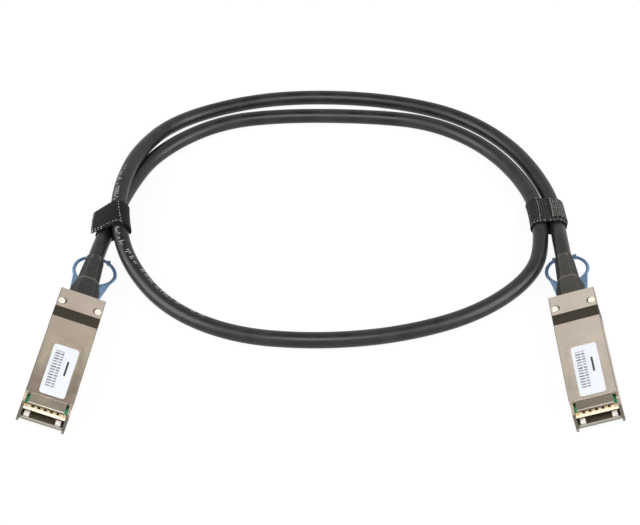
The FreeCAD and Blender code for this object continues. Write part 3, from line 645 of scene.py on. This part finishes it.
def spinRound(shape, places, closed, centre, steps):
    # turns a section once round an upright axis
    line, edges = drawLine(shape, places, closed)
    bmesh.ops.spin(shape, geom=line + edges, cent=centre, axis=(0, 0, 1), dvec=(0, 0, 0), angle=tau,
                   steps=steps, use_merge=True, use_duplicate=False)


def loft(rows):
    # a closed strip of faces drawn out row by row; returns the shape and each vertex's row and place in it
    shape = bmesh.new()
    line, edges = drawLine(shape, rows[0], True)
    spots = {vert: (0, k) for k, vert in enumerate(line)}
    for number, row in enumerate(rows[1:], 1):
        drawn = bmesh.ops.extrude_edge_only(shape, edges=edges)["geom"]
        edges = [item for item in drawn if isinstance(item, bmesh.types.BMEdge)]
        fresh = set(vertsOf(drawn))
        for vert in fresh:
            around = [edge.other_vert(vert) for edge in vert.link_edges]
            k = next(spots[other][1] for other in around if other not in fresh)
            vert.co = row[k]
            spots[vert] = (number, k)
    return shape, spots


def closeEnds(shape):
    bmesh.ops.holes_fill(shape, edges=[edge for edge in shape.edges if edge.is_boundary], sides=0)


def tidyCopy(node, side):
    # a CAD node's mesh with its triangles joined into faces, in the plug's own frame
    shape = bmesh.new()
    shape.from_mesh(frame["nodes"][node].data)
    bmesh.ops.remove_doubles(shape, verts=shape.verts, dist=0.000002)
    shape.transform(plugMatrix(side).inverted())
    bmesh.ops.dissolve_limit(shape, angle_limit=radians(0.6), verts=shape.verts, edges=shape.edges,
                             use_dissolve_boundaries=False)
    evenOut(shape)
    return shape


def bevel(shape, geom, width, segments, affect="EDGES", clamp=False):
    return bmesh.ops.bevel(shape, geom=geom, offset=width, offset_type="OFFSET", segments=segments,
                           profile=0.5, affect=affect, clamp_overlap=clamp, material=-1)["faces"]


def roundEdges(shape, edges, width, segments=2):
    # bevels the edges and marks the new faces: the shells paint them dark as painted shade, the boots pale as
    # painted highlights
    bevelFaces = shape.loops.layers.float.get("bevelFaces") or shape.loops.layers.float.new("bevelFaces")
    for face in bevel(shape, edges, width, segments, clamp=True):
        for loop in face.loops:
            loop[bevelFaces] = 1.0


def sharpEdges(shape, allowed=lambda middle: True):
    return [edge for edge in shape.edges
            if edge.is_manifold and edge.calc_length() > shellLook["shortest"] and edge.is_convex
            and edge.calc_face_angle(0) > radians(40)
            and allowed((edge.verts[0].co + edge.verts[1].co) / 2)]


# pieces of the two plugs

shellLook = {
    "edge": 0.00018,  # rounding of the stamped and cast edges
    "gasketEdge": 0.00012,
    "shortest": 0.0009,
    "outerHalf": 0.0089, "top": 0.0041, "front": -0.0562, "rear": -0.0005,  # edges outside these are rounded
}


def makeShells(side):
    def outside(middle):
        return (abs(middle.x) > shellLook["outerHalf"] or abs(middle.z) > shellLook["top"]
                or middle.y < shellLook["front"] or middle.y > shellLook["rear"])
    for name, node in (("Base", "base_shell"), ("Cover", "cover_shell")):
        shape = tidyCopy(side + "_" + node, side)
        roundEdges(shape, sharpEdges(shape, outside), shellLook["edge"])
        plugPiece(shape, side, name, "zinc_shell", node, 20.0)


def makeGasket(side):
    shape = tidyCopy(side + "_emi_gasket", side)
    roundEdges(shape, sharpEdges(shape), shellLook["gasketEdge"])
    plugPiece(shape, side, "Gasket", "gasket_mesh", "emi_gasket", 20.0)


labelShape = {"across": (-0.0046, 0.0053), "along": (-0.0519, -0.0278), "corner": 0.0012, "low": 0.00410,
              "thick": 0.00010, "edge": 0.00003}


def makeLabel(side):
    (left, right), (front, back) = labelShape["across"], labelShape["along"]
    low, thick = labelShape["low"], labelShape["thick"]
    shape = bmesh.new()
    bmesh.ops.create_grid(shape, x_segments=1, y_segments=1, size=0.5)
    bmesh.ops.scale(shape, verts=shape.verts, vec=(right - left, back - front, 1))
    move(shape, shape.verts, (left + right) / 2, (front + back) / 2, low)
    bevel(shape, shape.verts[:], labelShape["corner"], 6, "VERTICES")
    raised = bmesh.ops.extrude_face_region(shape, geom=shape.faces[:])["geom"]
    move(shape, vertsOf(raised), 0, 0, thick)
    evenOut(shape)
    rim = [edge for edge in shape.edges if all(vert.co.z > low + thick / 2 for vert in edge.verts)]
    bevel(shape, rim, labelShape["edge"], 2)
    plugPiece(shape, side, "Label", "label_film", "label", 60.0, evened=True)


# profile: share of the radius and depth below the top, from the middle to where the shank begins
rivetShape = {
    "across": 0.00730, "along": -0.0064, "radius": 0.00140, "top": 0.00434, "foot": 0.0012,
    "profile": ((0.0, 0.00002), (0.22, 0.0), (0.5, 0.00010), (0.74, 0.00003), (0.88, 0.0), (0.97, 0.00007),
                (1.0, 0.0002), (0.93, 0.0004), (0.85, 0.0005)),
    "teeth": 8, "toothDepth": 0.00005, "star": (0.3, 0.8), "steps": 32,
}


def makeRivets(side):
    # staked heads: a rounded rim and a shallow dish with a peened star
    shape = bmesh.new()
    radius, top, foot = rivetShape["radius"], rivetShape["top"], rivetShape["foot"]
    profile = [(radius * share, 0, top - depth) for share, depth in rivetShape["profile"]]
    profile += [(profile[-1][0], 0, foot), (0.0, 0, foot)]
    inner, outer = (radius * share for share in rivetShape["star"])
    for sign in (-1, 1):
        spinRound(shape, profile, False, (0, 0, 0), rivetShape["steps"])
        fresh = [vert for vert in shape.verts if abs(vert.co.x) < 2 * radius and vert.co.y < 2 * radius]
        for vert in fresh:
            if inner < hypot(vert.co.x, vert.co.y) < outer:
                turn = atan2(vert.co.y, vert.co.x)
                vert.co.z += rivetShape["toothDepth"] * cos(rivetShape["teeth"] * turn)
        move(shape, fresh, sign * rivetShape["across"], rivetShape["along"], 0)
    bmesh.ops.remove_doubles(shape, verts=shape.verts, dist=0.000002)
    evenOut(shape)
    plugPiece(shape, side, "Rivets", "bright_steel", "rivets", 50.0,
              material=steelFinish(side, "stakedRivet"))


bootShape = {
    "lift": 0.00065,
    # place along the boot, half width, height and corner of each section
    "sections": ((0.0, 0.00595, 0.0072, 0.0026), (0.0045, 0.00590, 0.0072, 0.0026),
                 (0.0092, 0.00450, 0.0072, 0.0021), (0.0203, 0.00385, 0.0072, 0.0021),
                 (0.0225, 0.00345, 0.0069, 0.0019)),
    "edge": 0.00028,
    "rubbedAndHighlit": 0.0199,  # from here to the end the edges are painted pale, as painted highlights
    "paleLines": (0.10, 0.55, 0.7),  # how pale the long edges and those at the end are painted as highlights, and how pale the crease is painted
    "crease": 0.0092, "creaseDepth": 0.00016, "creaseHalf": 0.00022,
    "mouthRim": 0.00012, "mouthDepth": 0.0012,  # where the cable comes out
    "neckRim": 0.0016, "neckReach": 0.0012,  # what goes into the shell
}


def eightSided(along, half, height, corner):
    low, top = bootShape["lift"] - height / 2, bootShape["lift"] + height / 2
    inner = half - corner
    return [Vector((x, along, z)) for x, z in (
        (-half, low + corner), (-inner, low), (inner, low), (half, low + corner),
        (half, top - corner), (inner, top), (-inner, top), (-half, top - corner))]


def makeBoot(side):
    boot = bootShape
    shape = loft([eightSided(*section) for section in boot["sections"]])[0]
    closeEnds(shape)
    evenOut(shape)
    corners = [edge for edge in shape.edges if edge.calc_face_angle(0) > radians(25)]
    roundEdges(shape, corners, boot["edge"], 3)
    bevelFaces = shape.loops.layers.float["bevelFaces"]
    longHighlight, endHighlight, creasePale = boot["paleLines"]

    def alongOf(face):
        return face.calc_center_median().y
    # painted highlights on the bevels: faint on the long edges, stronger at the end
    for face in shape.faces:
        for loop in face.loops:
            loop[bevelFaces] *= endHighlight if alongOf(face) > boot["rubbedAndHighlit"] else longHighlight
    # the crease across the waist
    for shift in (-1, 0, 1):
        cut = (0, boot["crease"] + shift * boot["creaseHalf"], 0)
        bmesh.ops.bisect_plane(shape, geom=shape.verts[:] + shape.edges[:] + shape.faces[:],
                               dist=0.000001, plane_co=cut, plane_no=(0, 1, 0))
    centre = Vector((0, boot["crease"], boot["lift"]))
    for vert in shape.verts:
        if abs(vert.co.y - boot["crease"]) < 0.00001:
            vert.co -= (vert.co - centre).normalized() * boot["creaseDepth"]
    # the crease painted pale
    for face in shape.faces:
        if abs(alongOf(face) - boot["crease"]) < boot["creaseHalf"]:
            for loop in face.loops:
                loop[bevelFaces] = creasePale
    for end, rim, reach in ((max(shape.faces, key=alongOf), boot["mouthRim"], boot["mouthDepth"]),
                            (min(shape.faces, key=alongOf), boot["neckRim"], boot["neckReach"])):
        bmesh.ops.inset_individual(shape, faces=[end], thickness=rim, depth=0.0)
        move(shape, end.verts, 0, -reach, 0)
    plugPiece(shape, side, "Boot", "black_rubber", "cable_boot", 40.0, evened=True)


def makePullTab(side):
    # plate with two webs, ring and nubs, melted together as one soft moulding
    tab = tabShape
    shape = bmesh.new()
    start, place, radius, sheet = tab["start"], tab["ringPlace"], tab["ringRadius"], tab["sheet"]
    turn = asin(tab["webRise"] / sqrt(radius ** 2 - tab["webRise"] ** 2))
    turns = [-turn - (pi - 2 * turn) * k / tab["webSteps"] for k in range(tab["webSteps"] + 1)]
    outline = [(-tab["half"], start), (tab["half"], start)]
    outline += [(radius * cos(turn), place + radius * sin(turn)) for turn in turns]
    face = shape.faces.new([shape.verts.new((x, y, tab["height"] - sheet / 2)) for x, y in outline])
    raised = bmesh.ops.extrude_face_region(shape, geom=[face])["geom"]
    move(shape, vertsOf(raised), 0, 0, sheet)
    half, cut, rise = tab["ringSection"] / 2, tab["ringBevel"], tab["ringThick"] / 2
    corners = [(-half, cut - rise), (cut - half, -rise), (half - cut, -rise), (half, cut - rise),
               (half, rise - cut), (half - cut, rise), (cut - half, rise), (-half, rise - cut)]
    section = [(radius + x, place, tab["height"] + z) for x, z in corners]
    spinRound(shape, section, True, (0, place, 0), tab["ringSteps"])
    out = place + sqrt(radius ** 2 - tab["nubPlace"] ** 2)
    nubSize = (tab["nubWidth"], 2 * tab["nubReach"] + tab["ringSection"], sheet)
    for sign in (-1, 1):
        nub = bmesh.ops.create_cube(shape, size=1.0)["verts"]
        bmesh.ops.scale(shape, verts=nub, vec=nubSize)
        move(shape, nub, sign * tab["nubPlace"], out + tab["nubReach"] / 2, tab["height"])
    middle, share = tab["stretch"]
    shift, slope = tab["shear"][side]
    for vert in shape.verts:
        gone = min(max((vert.co.y - start) / (place - start), 0.0), 1.0)
        along = middle + (vert.co.y - place) * share
        vert.co.y = start + (along - start) * gone if gone < tab["root"] else along
        vert.co.x += tab["aside"][side] * gone
        vert.co.z += tab["twist"][side] * vert.co.x * gone
        vert.co.y += (shift + slope * vert.co.x) * gone
    evenOut(shape)
    piece = plugPiece(shape, side, "PullTab", "blue_plastic", "pull_tab", 80.0, body=side + "_latch")
    melt = piece.modifiers.new("melt", "REMESH")
    melt.mode = "VOXEL"
    melt.voxel_size = tab["voxel"]
    melt.use_smooth_shade = True
    soften = piece.modifiers.new("soften", "SMOOTH")
    soften.factor = 0.5
    soften.iterations = tab["smooth"]


for side in plugs:
    for make in (makeShells, makeGasket, makeLabel, makeRivets, makeBoot, makePullTab):
        make(side)
print("plugs made")

# cable, in metres from the left boot to the right one
cableRun = {
    "diameter": 0.0065, "length": 0.857,
    "route": [
        (-0.09236, 0.03569, 0.00763), (-0.09084, 0.04809, 0.00763), (-0.08881, 0.06053, 0.005),
        (-0.08421, 0.08443, 0.0044), (-0.07351, 0.11153, 0.0033), (-0.04791, 0.13243, 0.00325),
        (-0.01831, 0.13813, 0.00325), (0.02409, 0.13743, 0.00325), (0.05229, 0.13243, 0.00325),
        (0.07619, 0.11443, 0.0033), (0.09119, 0.08463, 0.00475), (0.09299, 0.05793, 0.00475),
        (0.08759, 0.03553, 0.0034), (0.06379, 0.01423, 0.00325), (0.03169, 0.00253, 0.00325),
        (-0.00211, -0.00107, 0.00325), (-0.03521, 0.00243, 0.00325), (-0.06241, 0.01763, 0.0033),
        (-0.07941, 0.04053, 0.0066), (-0.08491, 0.06243, 0.0114), (-0.08481, 0.08093, 0.0122),
        (-0.08011, 0.10563, 0.0099), (-0.06611, 0.13353, 0.0038), (-0.03401, 0.14843, 0.00325),
        (-0.00071, 0.15223, 0.00325), (0.03579, 0.14833, 0.00325), (0.06539, 0.13703, 0.00325),
        (0.08699, 0.11463, 0.0034), (0.09839, 0.08443, 0.00475), (0.09969, 0.06193, 0.00485),
        (0.09908, 0.04923, 0.00763), (0.09948, 0.03673, 0.00763),
    ],
    "order": 3, "resolution": 12, "around": 24,
}
# the print is a plain row of short upright strokes, in groups, which turns slowly round the cable
cableLook = {
    "dark": tint(13, 12, 12), "light": tint(30, 29, 27), "dust": tint(134, 120, 104),
    "ink": tint(176, 176, 172),
    "printRun": (0.466, 0.566),  # where along the cable it begins and ends
    "printTurn": (0.503, 0.525), "printPlace": (0.0021, -0.0014),  # between these two it moves round, so far
    "printHeight": 0.0020, "strokePitch": 0.0010, "stroke": 0.00036,
    "groupPitch": 0.0118, "group": 0.0096,
    "strokeShare": 0.66, "halfShift": 0.37, "inkLevel": 0.75,
}


def routePoints():
    # the points of the route's own smooth line, in order
    line = bpy.data.curves.new("cableRoute", "CURVE")
    line.dimensions = "3D"
    spline = line.splines.new("NURBS")
    spline.points.add(len(cableRun["route"]) - 1)
    for knot, place in zip(spline.points, cableRun["route"]):
        knot.co = (*place, 1)
    spline.order_u = cableRun["order"]
    spline.use_endpoint_u = True
    spline.resolution_u = cableRun["resolution"]
    carrier = bpy.data.objects.new("cableRoute", line)
    points = [vert.co.copy() for vert in bpy.data.meshes.new_from_object(carrier).vertices]
    bpy.data.objects.remove(carrier)
    return points


def layFlat(shape, spots, across, along, count=0):
    # a flat map in metres: across and along give each column's and each row's place on it
    flat = shape.loops.layers.uv.new("flat")
    for face in shape.faces:
        columns = {spots[loop.vert][1] for loop in face.loops}
        wraps = count > 0 and {0, count - 1} <= columns
        for loop in face.loops:
            row, k = spots[loop.vert]
            loop[flat].uv = (across(count if wraps and k == 0 else k), along(row))


def cableFinish():
    look = cableLook
    material, place = newFinish("cableJacket", Specular_IOR_Level=0.37)
    around, run = parted(flatMap(material))[:2]
    skin = grained(place, 2600.0, 120.0)
    color = clouded(skin, look["dark"], look["light"])
    color = dusted(place, color, 700.0, 0.07, 0.35, look["dust"])
    half = pi * cableRun["diameter"] / 2
    row = worked("SUBTRACT", around, ranged(run, *look["printTurn"], *look["printPlace"]))
    row = worked("WRAP", row, half, -half)
    onRow = worked("COMPARE", row, 0.0, look["printHeight"] / 2)
    upright = isUnder(worked("MODULO", run, look["strokePitch"]), look["stroke"])
    # each half of the row leaves out its own strokes
    upper = times(isUnder(row, 0.0), look["halfShift"])
    chosen = barred(worked("ADD", run, upper), look["strokePitch"], look["strokeShare"])
    inGroup = isUnder(worked("MODULO", run, look["groupPitch"]), look["group"])
    start, end = look["printRun"]
    marks = times(upright, chosen, onRow, inGroup, isOver(run, start), isUnder(run, end), look["inkLevel"])
    return finished(material, mixed(marks, color, look["ink"]), (skin["Grain"], 0.00003, 0.3),
                    Roughness=varied(skin["Clouds"], 0.33, 0.45))


def makeCable():
    points = routePoints()
    radius, around = cableRun["diameter"] / 2, cableRun["around"]
    turns = [tau * step / around for step in range(around)]
    rows, runs, run = [], [], 0.0
    side = Vector((0, 0, 1))
    for k, point in enumerate(points):
        before = points[max(k - 1, 0)]
        ahead = (points[min(k + 1, len(points) - 1)] - before).normalized()
        side = (side - ahead * side.dot(ahead)).normalized()
        other = ahead.cross(side)
        rows.append([point + side * radius * cos(turn) + other * radius * sin(turn) for turn in turns])
        run += (point - before).length
        runs.append(run)
    shape, spots = loft(rows)
    layFlat(shape, spots, lambda k: tau * radius * k / around, lambda row: runs[row], around)
    closeEnds(shape)
    evenOut(shape)
    return newPiece("cableJacket", shape), points, run


cable, cablePoints, cableMeasure = makeCable()
finishPiece(cable, "cable_jacket", cableFinish(), ["cable"], 60.0)
print("cable laid, %.4f m" % cableMeasure)

# straps: hook and loop tape wound round both strands, in metres
strapLook = {
    "inside": 0.00345, "layer": 0.00062, "rows": 9, "edge": 0.00018, "bandTrim": 0.0003,
    "flapReach": (0.0122, 0.0104), "flapDrop": (0.0018, 0.0025),  # of the flap's tip, front and back
    "patchStart": 0.72,  # the share of the way across the top where the hook end begins
    "flapTurn": 150, "patchTurn": 170,  # how far each goes round its strand, in degrees
    "stitch": (0.00090, 0.00040, 0.00030), "stitchStep": 0.00150,
    "beyond": 0.06,  # the straps lie further out than this
    "dust": tint(120, 118, 112), "thread": (tint(104, 103, 98), tint(156, 155, 149)),
}
# each tape: name, dark and light tone, width of a thread; rows of stitches lie on the band or on its end,
# along the tape (share of its width, number of points) or across it (which point)
straps = {
    "left": {"start": 0.0550, "width": 0.0116, "sign": -1,
             "band": ("loopTape", tint(3, 3, 3), tint(34, 34, 31), 0.00070),
             "end": "Flap", "endStart": 0.0, "endTrim": 0.0,
             "along": (("end", 0.10, 22), ("end", 0.02, 10)), "across": (("end", 21), ("end", 1))},
    "right": {"start": 0.0612, "width": 0.0150, "sign": 1,
              "band": ("ribbedTape", tint(4, 4, 4), tint(72, 72, 70), 0.00105),
              "end": "Hook", "endStart": 0.0024, "endTrim": 0.0034,
              "along": (("band", 0.05, None),), "across": (("band", -6), ("end", 1))},
}
hookTape = ("hookTape", tint(5, 5, 5), tint(136, 136, 133), 0.00090)


def strandsAt(place, sign):
    # where the two strands cross one station of a strap, from left to right
    found = []
    for first, second in zip(cablePoints, cablePoints[1:]):
        if (first.y - place) * (second.y - place) < 0 and first.x * sign > strapLook["beyond"]:
            found.append(first.lerp(second, (place - first.y) / (second.y - first.y)))
    return sorted(found, key=lambda point: point.x)


def directions(first, second):
    forward = (second - first).normalized()
    return forward, Vector((forward.z, 0, -forward.x))


def bend(centre, forward, down, radius, turn, steps, first=0):
    # round a strand, from above it and on over its front
    turns = [turn * k / steps for k in range(first, steps + 1)]
    return [centre + (forward * sin(turn) - down * cos(turn)) * radius for turn in turns]


def woundLine(spots, radius, share):
    # once round both strands, from the middle of the top towards the right
    first, second = spots
    forward, down = directions(first, second)
    line = [first.lerp(second, 0.5 + k / 12) - down * radius for k in range(6)]
    line += bend(second, forward, down, radius, pi, 14)
    line += [second.lerp(first, k / 12) + down * radius for k in range(1, 12)]
    line += bend(first, -forward, -down, radius, pi, 14)
    return line + [first.lerp(second, k / 12) - down * radius for k in range(1, 6)]


def flapLine(spots, radius, share):
    # from the tip of the flap, over the upper strand and down its far side
    ends = (strapLook["flapReach"], strapLook["flapDrop"])
    reach, drop = (front * (1 - share) + back * share for front, back in ends)
    span = hypot(reach, drop)
    mid = strapLook["inside"] + 1.5 * strapLook["layer"]
    rise = atan2(drop, reach) + asin(mid / span)
    along = Vector((cos(rise), 0, sin(rise)))
    up = Vector((-sin(rise), 0, cos(rise)))
    length = sqrt(span ** 2 - mid ** 2)
    line = [spots[1] + up * radius - along * (length * (1 - k / 16)) for k in range(17)]
    return line + bend(spots[1], along, -up, radius, radians(strapLook["flapTurn"]), 18, 1)


def patchLine(spots, radius, share):
    # the hook end, from part way along the top, round the right strand and under
    first, second = spots
    forward, down = directions(first, second)
    start = strapLook["patchStart"]
    line = [first.lerp(second, start + (1 - start) * k / 8) - down * radius for k in range(8)]
    return line + bend(second, forward, down, radius, radians(strapLook["patchTurn"]), 18)


def layTape(name, sign, start, width, draw, inner, closed=False):
    # one layer of tape, drawn along its line and closed into a solid; its outer skin is returned too
    rows, thick = strapLook["rows"], strapLook["layer"]
    shares = [k / (rows - 1) for k in range(rows)]
    spots = [strandsAt(start + width * share, sign) for share in shares]
    outside, inside, middle = ([draw(pair, radius, share) for pair, share in zip(spots, shares)]
                               for radius in (inner + thick, inner, inner + thick / 2))
    edge = Vector((0, strapLook["edge"], 0))
    centre = middle[rows // 2]
    sections, runs, run = [], [], 0.0
    for k in range(len(centre)):
        top, low = ([line[k] for line in skin] for skin in (outside, inside))
        top[0], top[-1], low[0], low[-1] = top[0] + edge, top[-1] - edge, low[0] + edge, low[-1] - edge
        sections.append(top + [middle[-1][k]] + low[::-1] + [middle[0][k]])
        run += (centre[k] - centre[max(k - 1, 0)]).length
        runs.append(run)
    runs.append(run + (centre[0] - centre[-1]).length)
    shape, order = loft(sections + (sections[:1] if closed else []))
    places = [width * share for share in shares]
    places += [width] + places[::-1] + [0.0]
    layFlat(shape, order, lambda k: places[k], lambda row: runs[row])
    if closed:
        bmesh.ops.remove_doubles(shape, verts=shape.verts, dist=0.000001)
    else:
        closeEnds(shape)
    evenOut(shape)
    return newPiece(name, shape), outside


def sewLine(shape, line, centres):
    # a row of stitches that lies on a line of points; centres say which way is out
    length, width, height = strapLook["stitch"]
    gone, ahead = 0.0, strapLook["stitchStep"] / 2
    for k in range(1, len(line)):
        step = line[k] - line[k - 1]
        while gone + step.length > ahead:
            place = line[k - 1] + step * ((ahead - gone) / step.length)
            along = step.normalized()
            out = (centres[k] - along * centres[k].dot(along)).normalized()
            turn = Matrix((along, along.cross(out), out)).transposed().to_4x4()
            stitch = bmesh.ops.create_uvsphere(shape, u_segments=8, v_segments=5, radius=0.5)["verts"]
            bmesh.ops.transform(shape, verts=stitch, matrix=Matrix.Translation(place) @ turn
                                @ Matrix.Diagonal((length, width, height, 1)))
            ahead += strapLook["stitchStep"]
        gone += step.length


def between(skin, share):
    # a line along the tape at a share of its width
    whole = share * (len(skin) - 1)
    row = min(int(whole), len(skin) - 2)
    return [low.lerp(high, whole - row) for low, high in zip(skin[row], skin[row + 1])]


def outward(line):
    # directions square to a line that lies in an upright plane across the cable
    steps = [line[min(k + 1, len(line) - 1)] - line[max(k - 1, 0)] for k in range(len(line))]
    return [Vector((-step.z, 0, step.x)).normalized() for step in steps]


def strapFinish(name, dark, light, thread):
    material, place = newFinish(name, Roughness=0.9, Specular_IOR_Level=0.12, Sheen_Weight=0.08,
                                Sheen_Roughness=0.5)
    flat = flatMap(material)
    cloth = grouped("weave", flat, thread)
    color = mixed(ranged(cloth["Shade"], 0.45, 1.0), dark, light)
    color = dusted(place, color, 1200.0, 0.14, 0.4, strapLook["dust"])
    height = worked("ADD", cloth["Height"], times(noise(flat, 2600.0, 3.0), 0.8))
    return finished(material, color, (height, 0.00012, 0.8))


def threadFinish():
    material, place = newFinish("sewingThread", Roughness=0.7)
    look = grained(place, 4000.0, 500.0)
    return finished(material, clouded(look, *strapLook["thread"]), (look["Grain"], 0.00003, 0.6))


def makeStrap(side, tape, endTape, thread):
    strap, inner, sign = straps[side], strapLook["inside"], straps[side]["sign"]
    start, width, trim = strap["start"], strap["width"], strapLook["bandTrim"]
    band, skin = layTape(side + "StrapBand", sign, start + trim, width - 2 * trim, woundLine, inner, True)
    finishPiece(band, "strap_fabric", tape, [side + "_strap"], 50.0)
    draw = flapLine if strap["end"] == "Flap" else patchLine
    end, endSkin = layTape(side + "Strap" + strap["end"], sign, start + strap["endStart"],
                           width - strap["endTrim"], draw, inner + strapLook["layer"])
    finishPiece(end, "strap_fabric", endTape, (), 50.0)
    skins = {"band": skin, "end": endSkin}
    sewing = bmesh.new()
    for layer, share, count in strap["along"]:
        line = between(skins[layer], share)[:count]
        sewLine(sewing, line, outward(line))
    for layer, k in strap["across"]:
        line = [row[k] for row in skins[layer]]
        middle = skins[layer][len(line) // 2]
        out = outward([middle[k - 1], middle[k], middle[(k + 1) % len(middle)]])[1]
        sewLine(sewing, line, [out] * len(line))
    stitches = finishPiece(newPiece(side + "StrapStitches", sewing), "strap_fabric", thread, (), 80.0)
    return [band, end, stitches]


tapes = {side: strapFinish(*strap["band"]) for side, strap in straps.items()}
hook, thread = strapFinish(*hookTape), threadFinish()
strapPieces = makeStrap("left", tapes["left"], tapes["left"], thread)
strapPieces += makeStrap("right", tapes["right"], hook, thread)
print("straps wound")
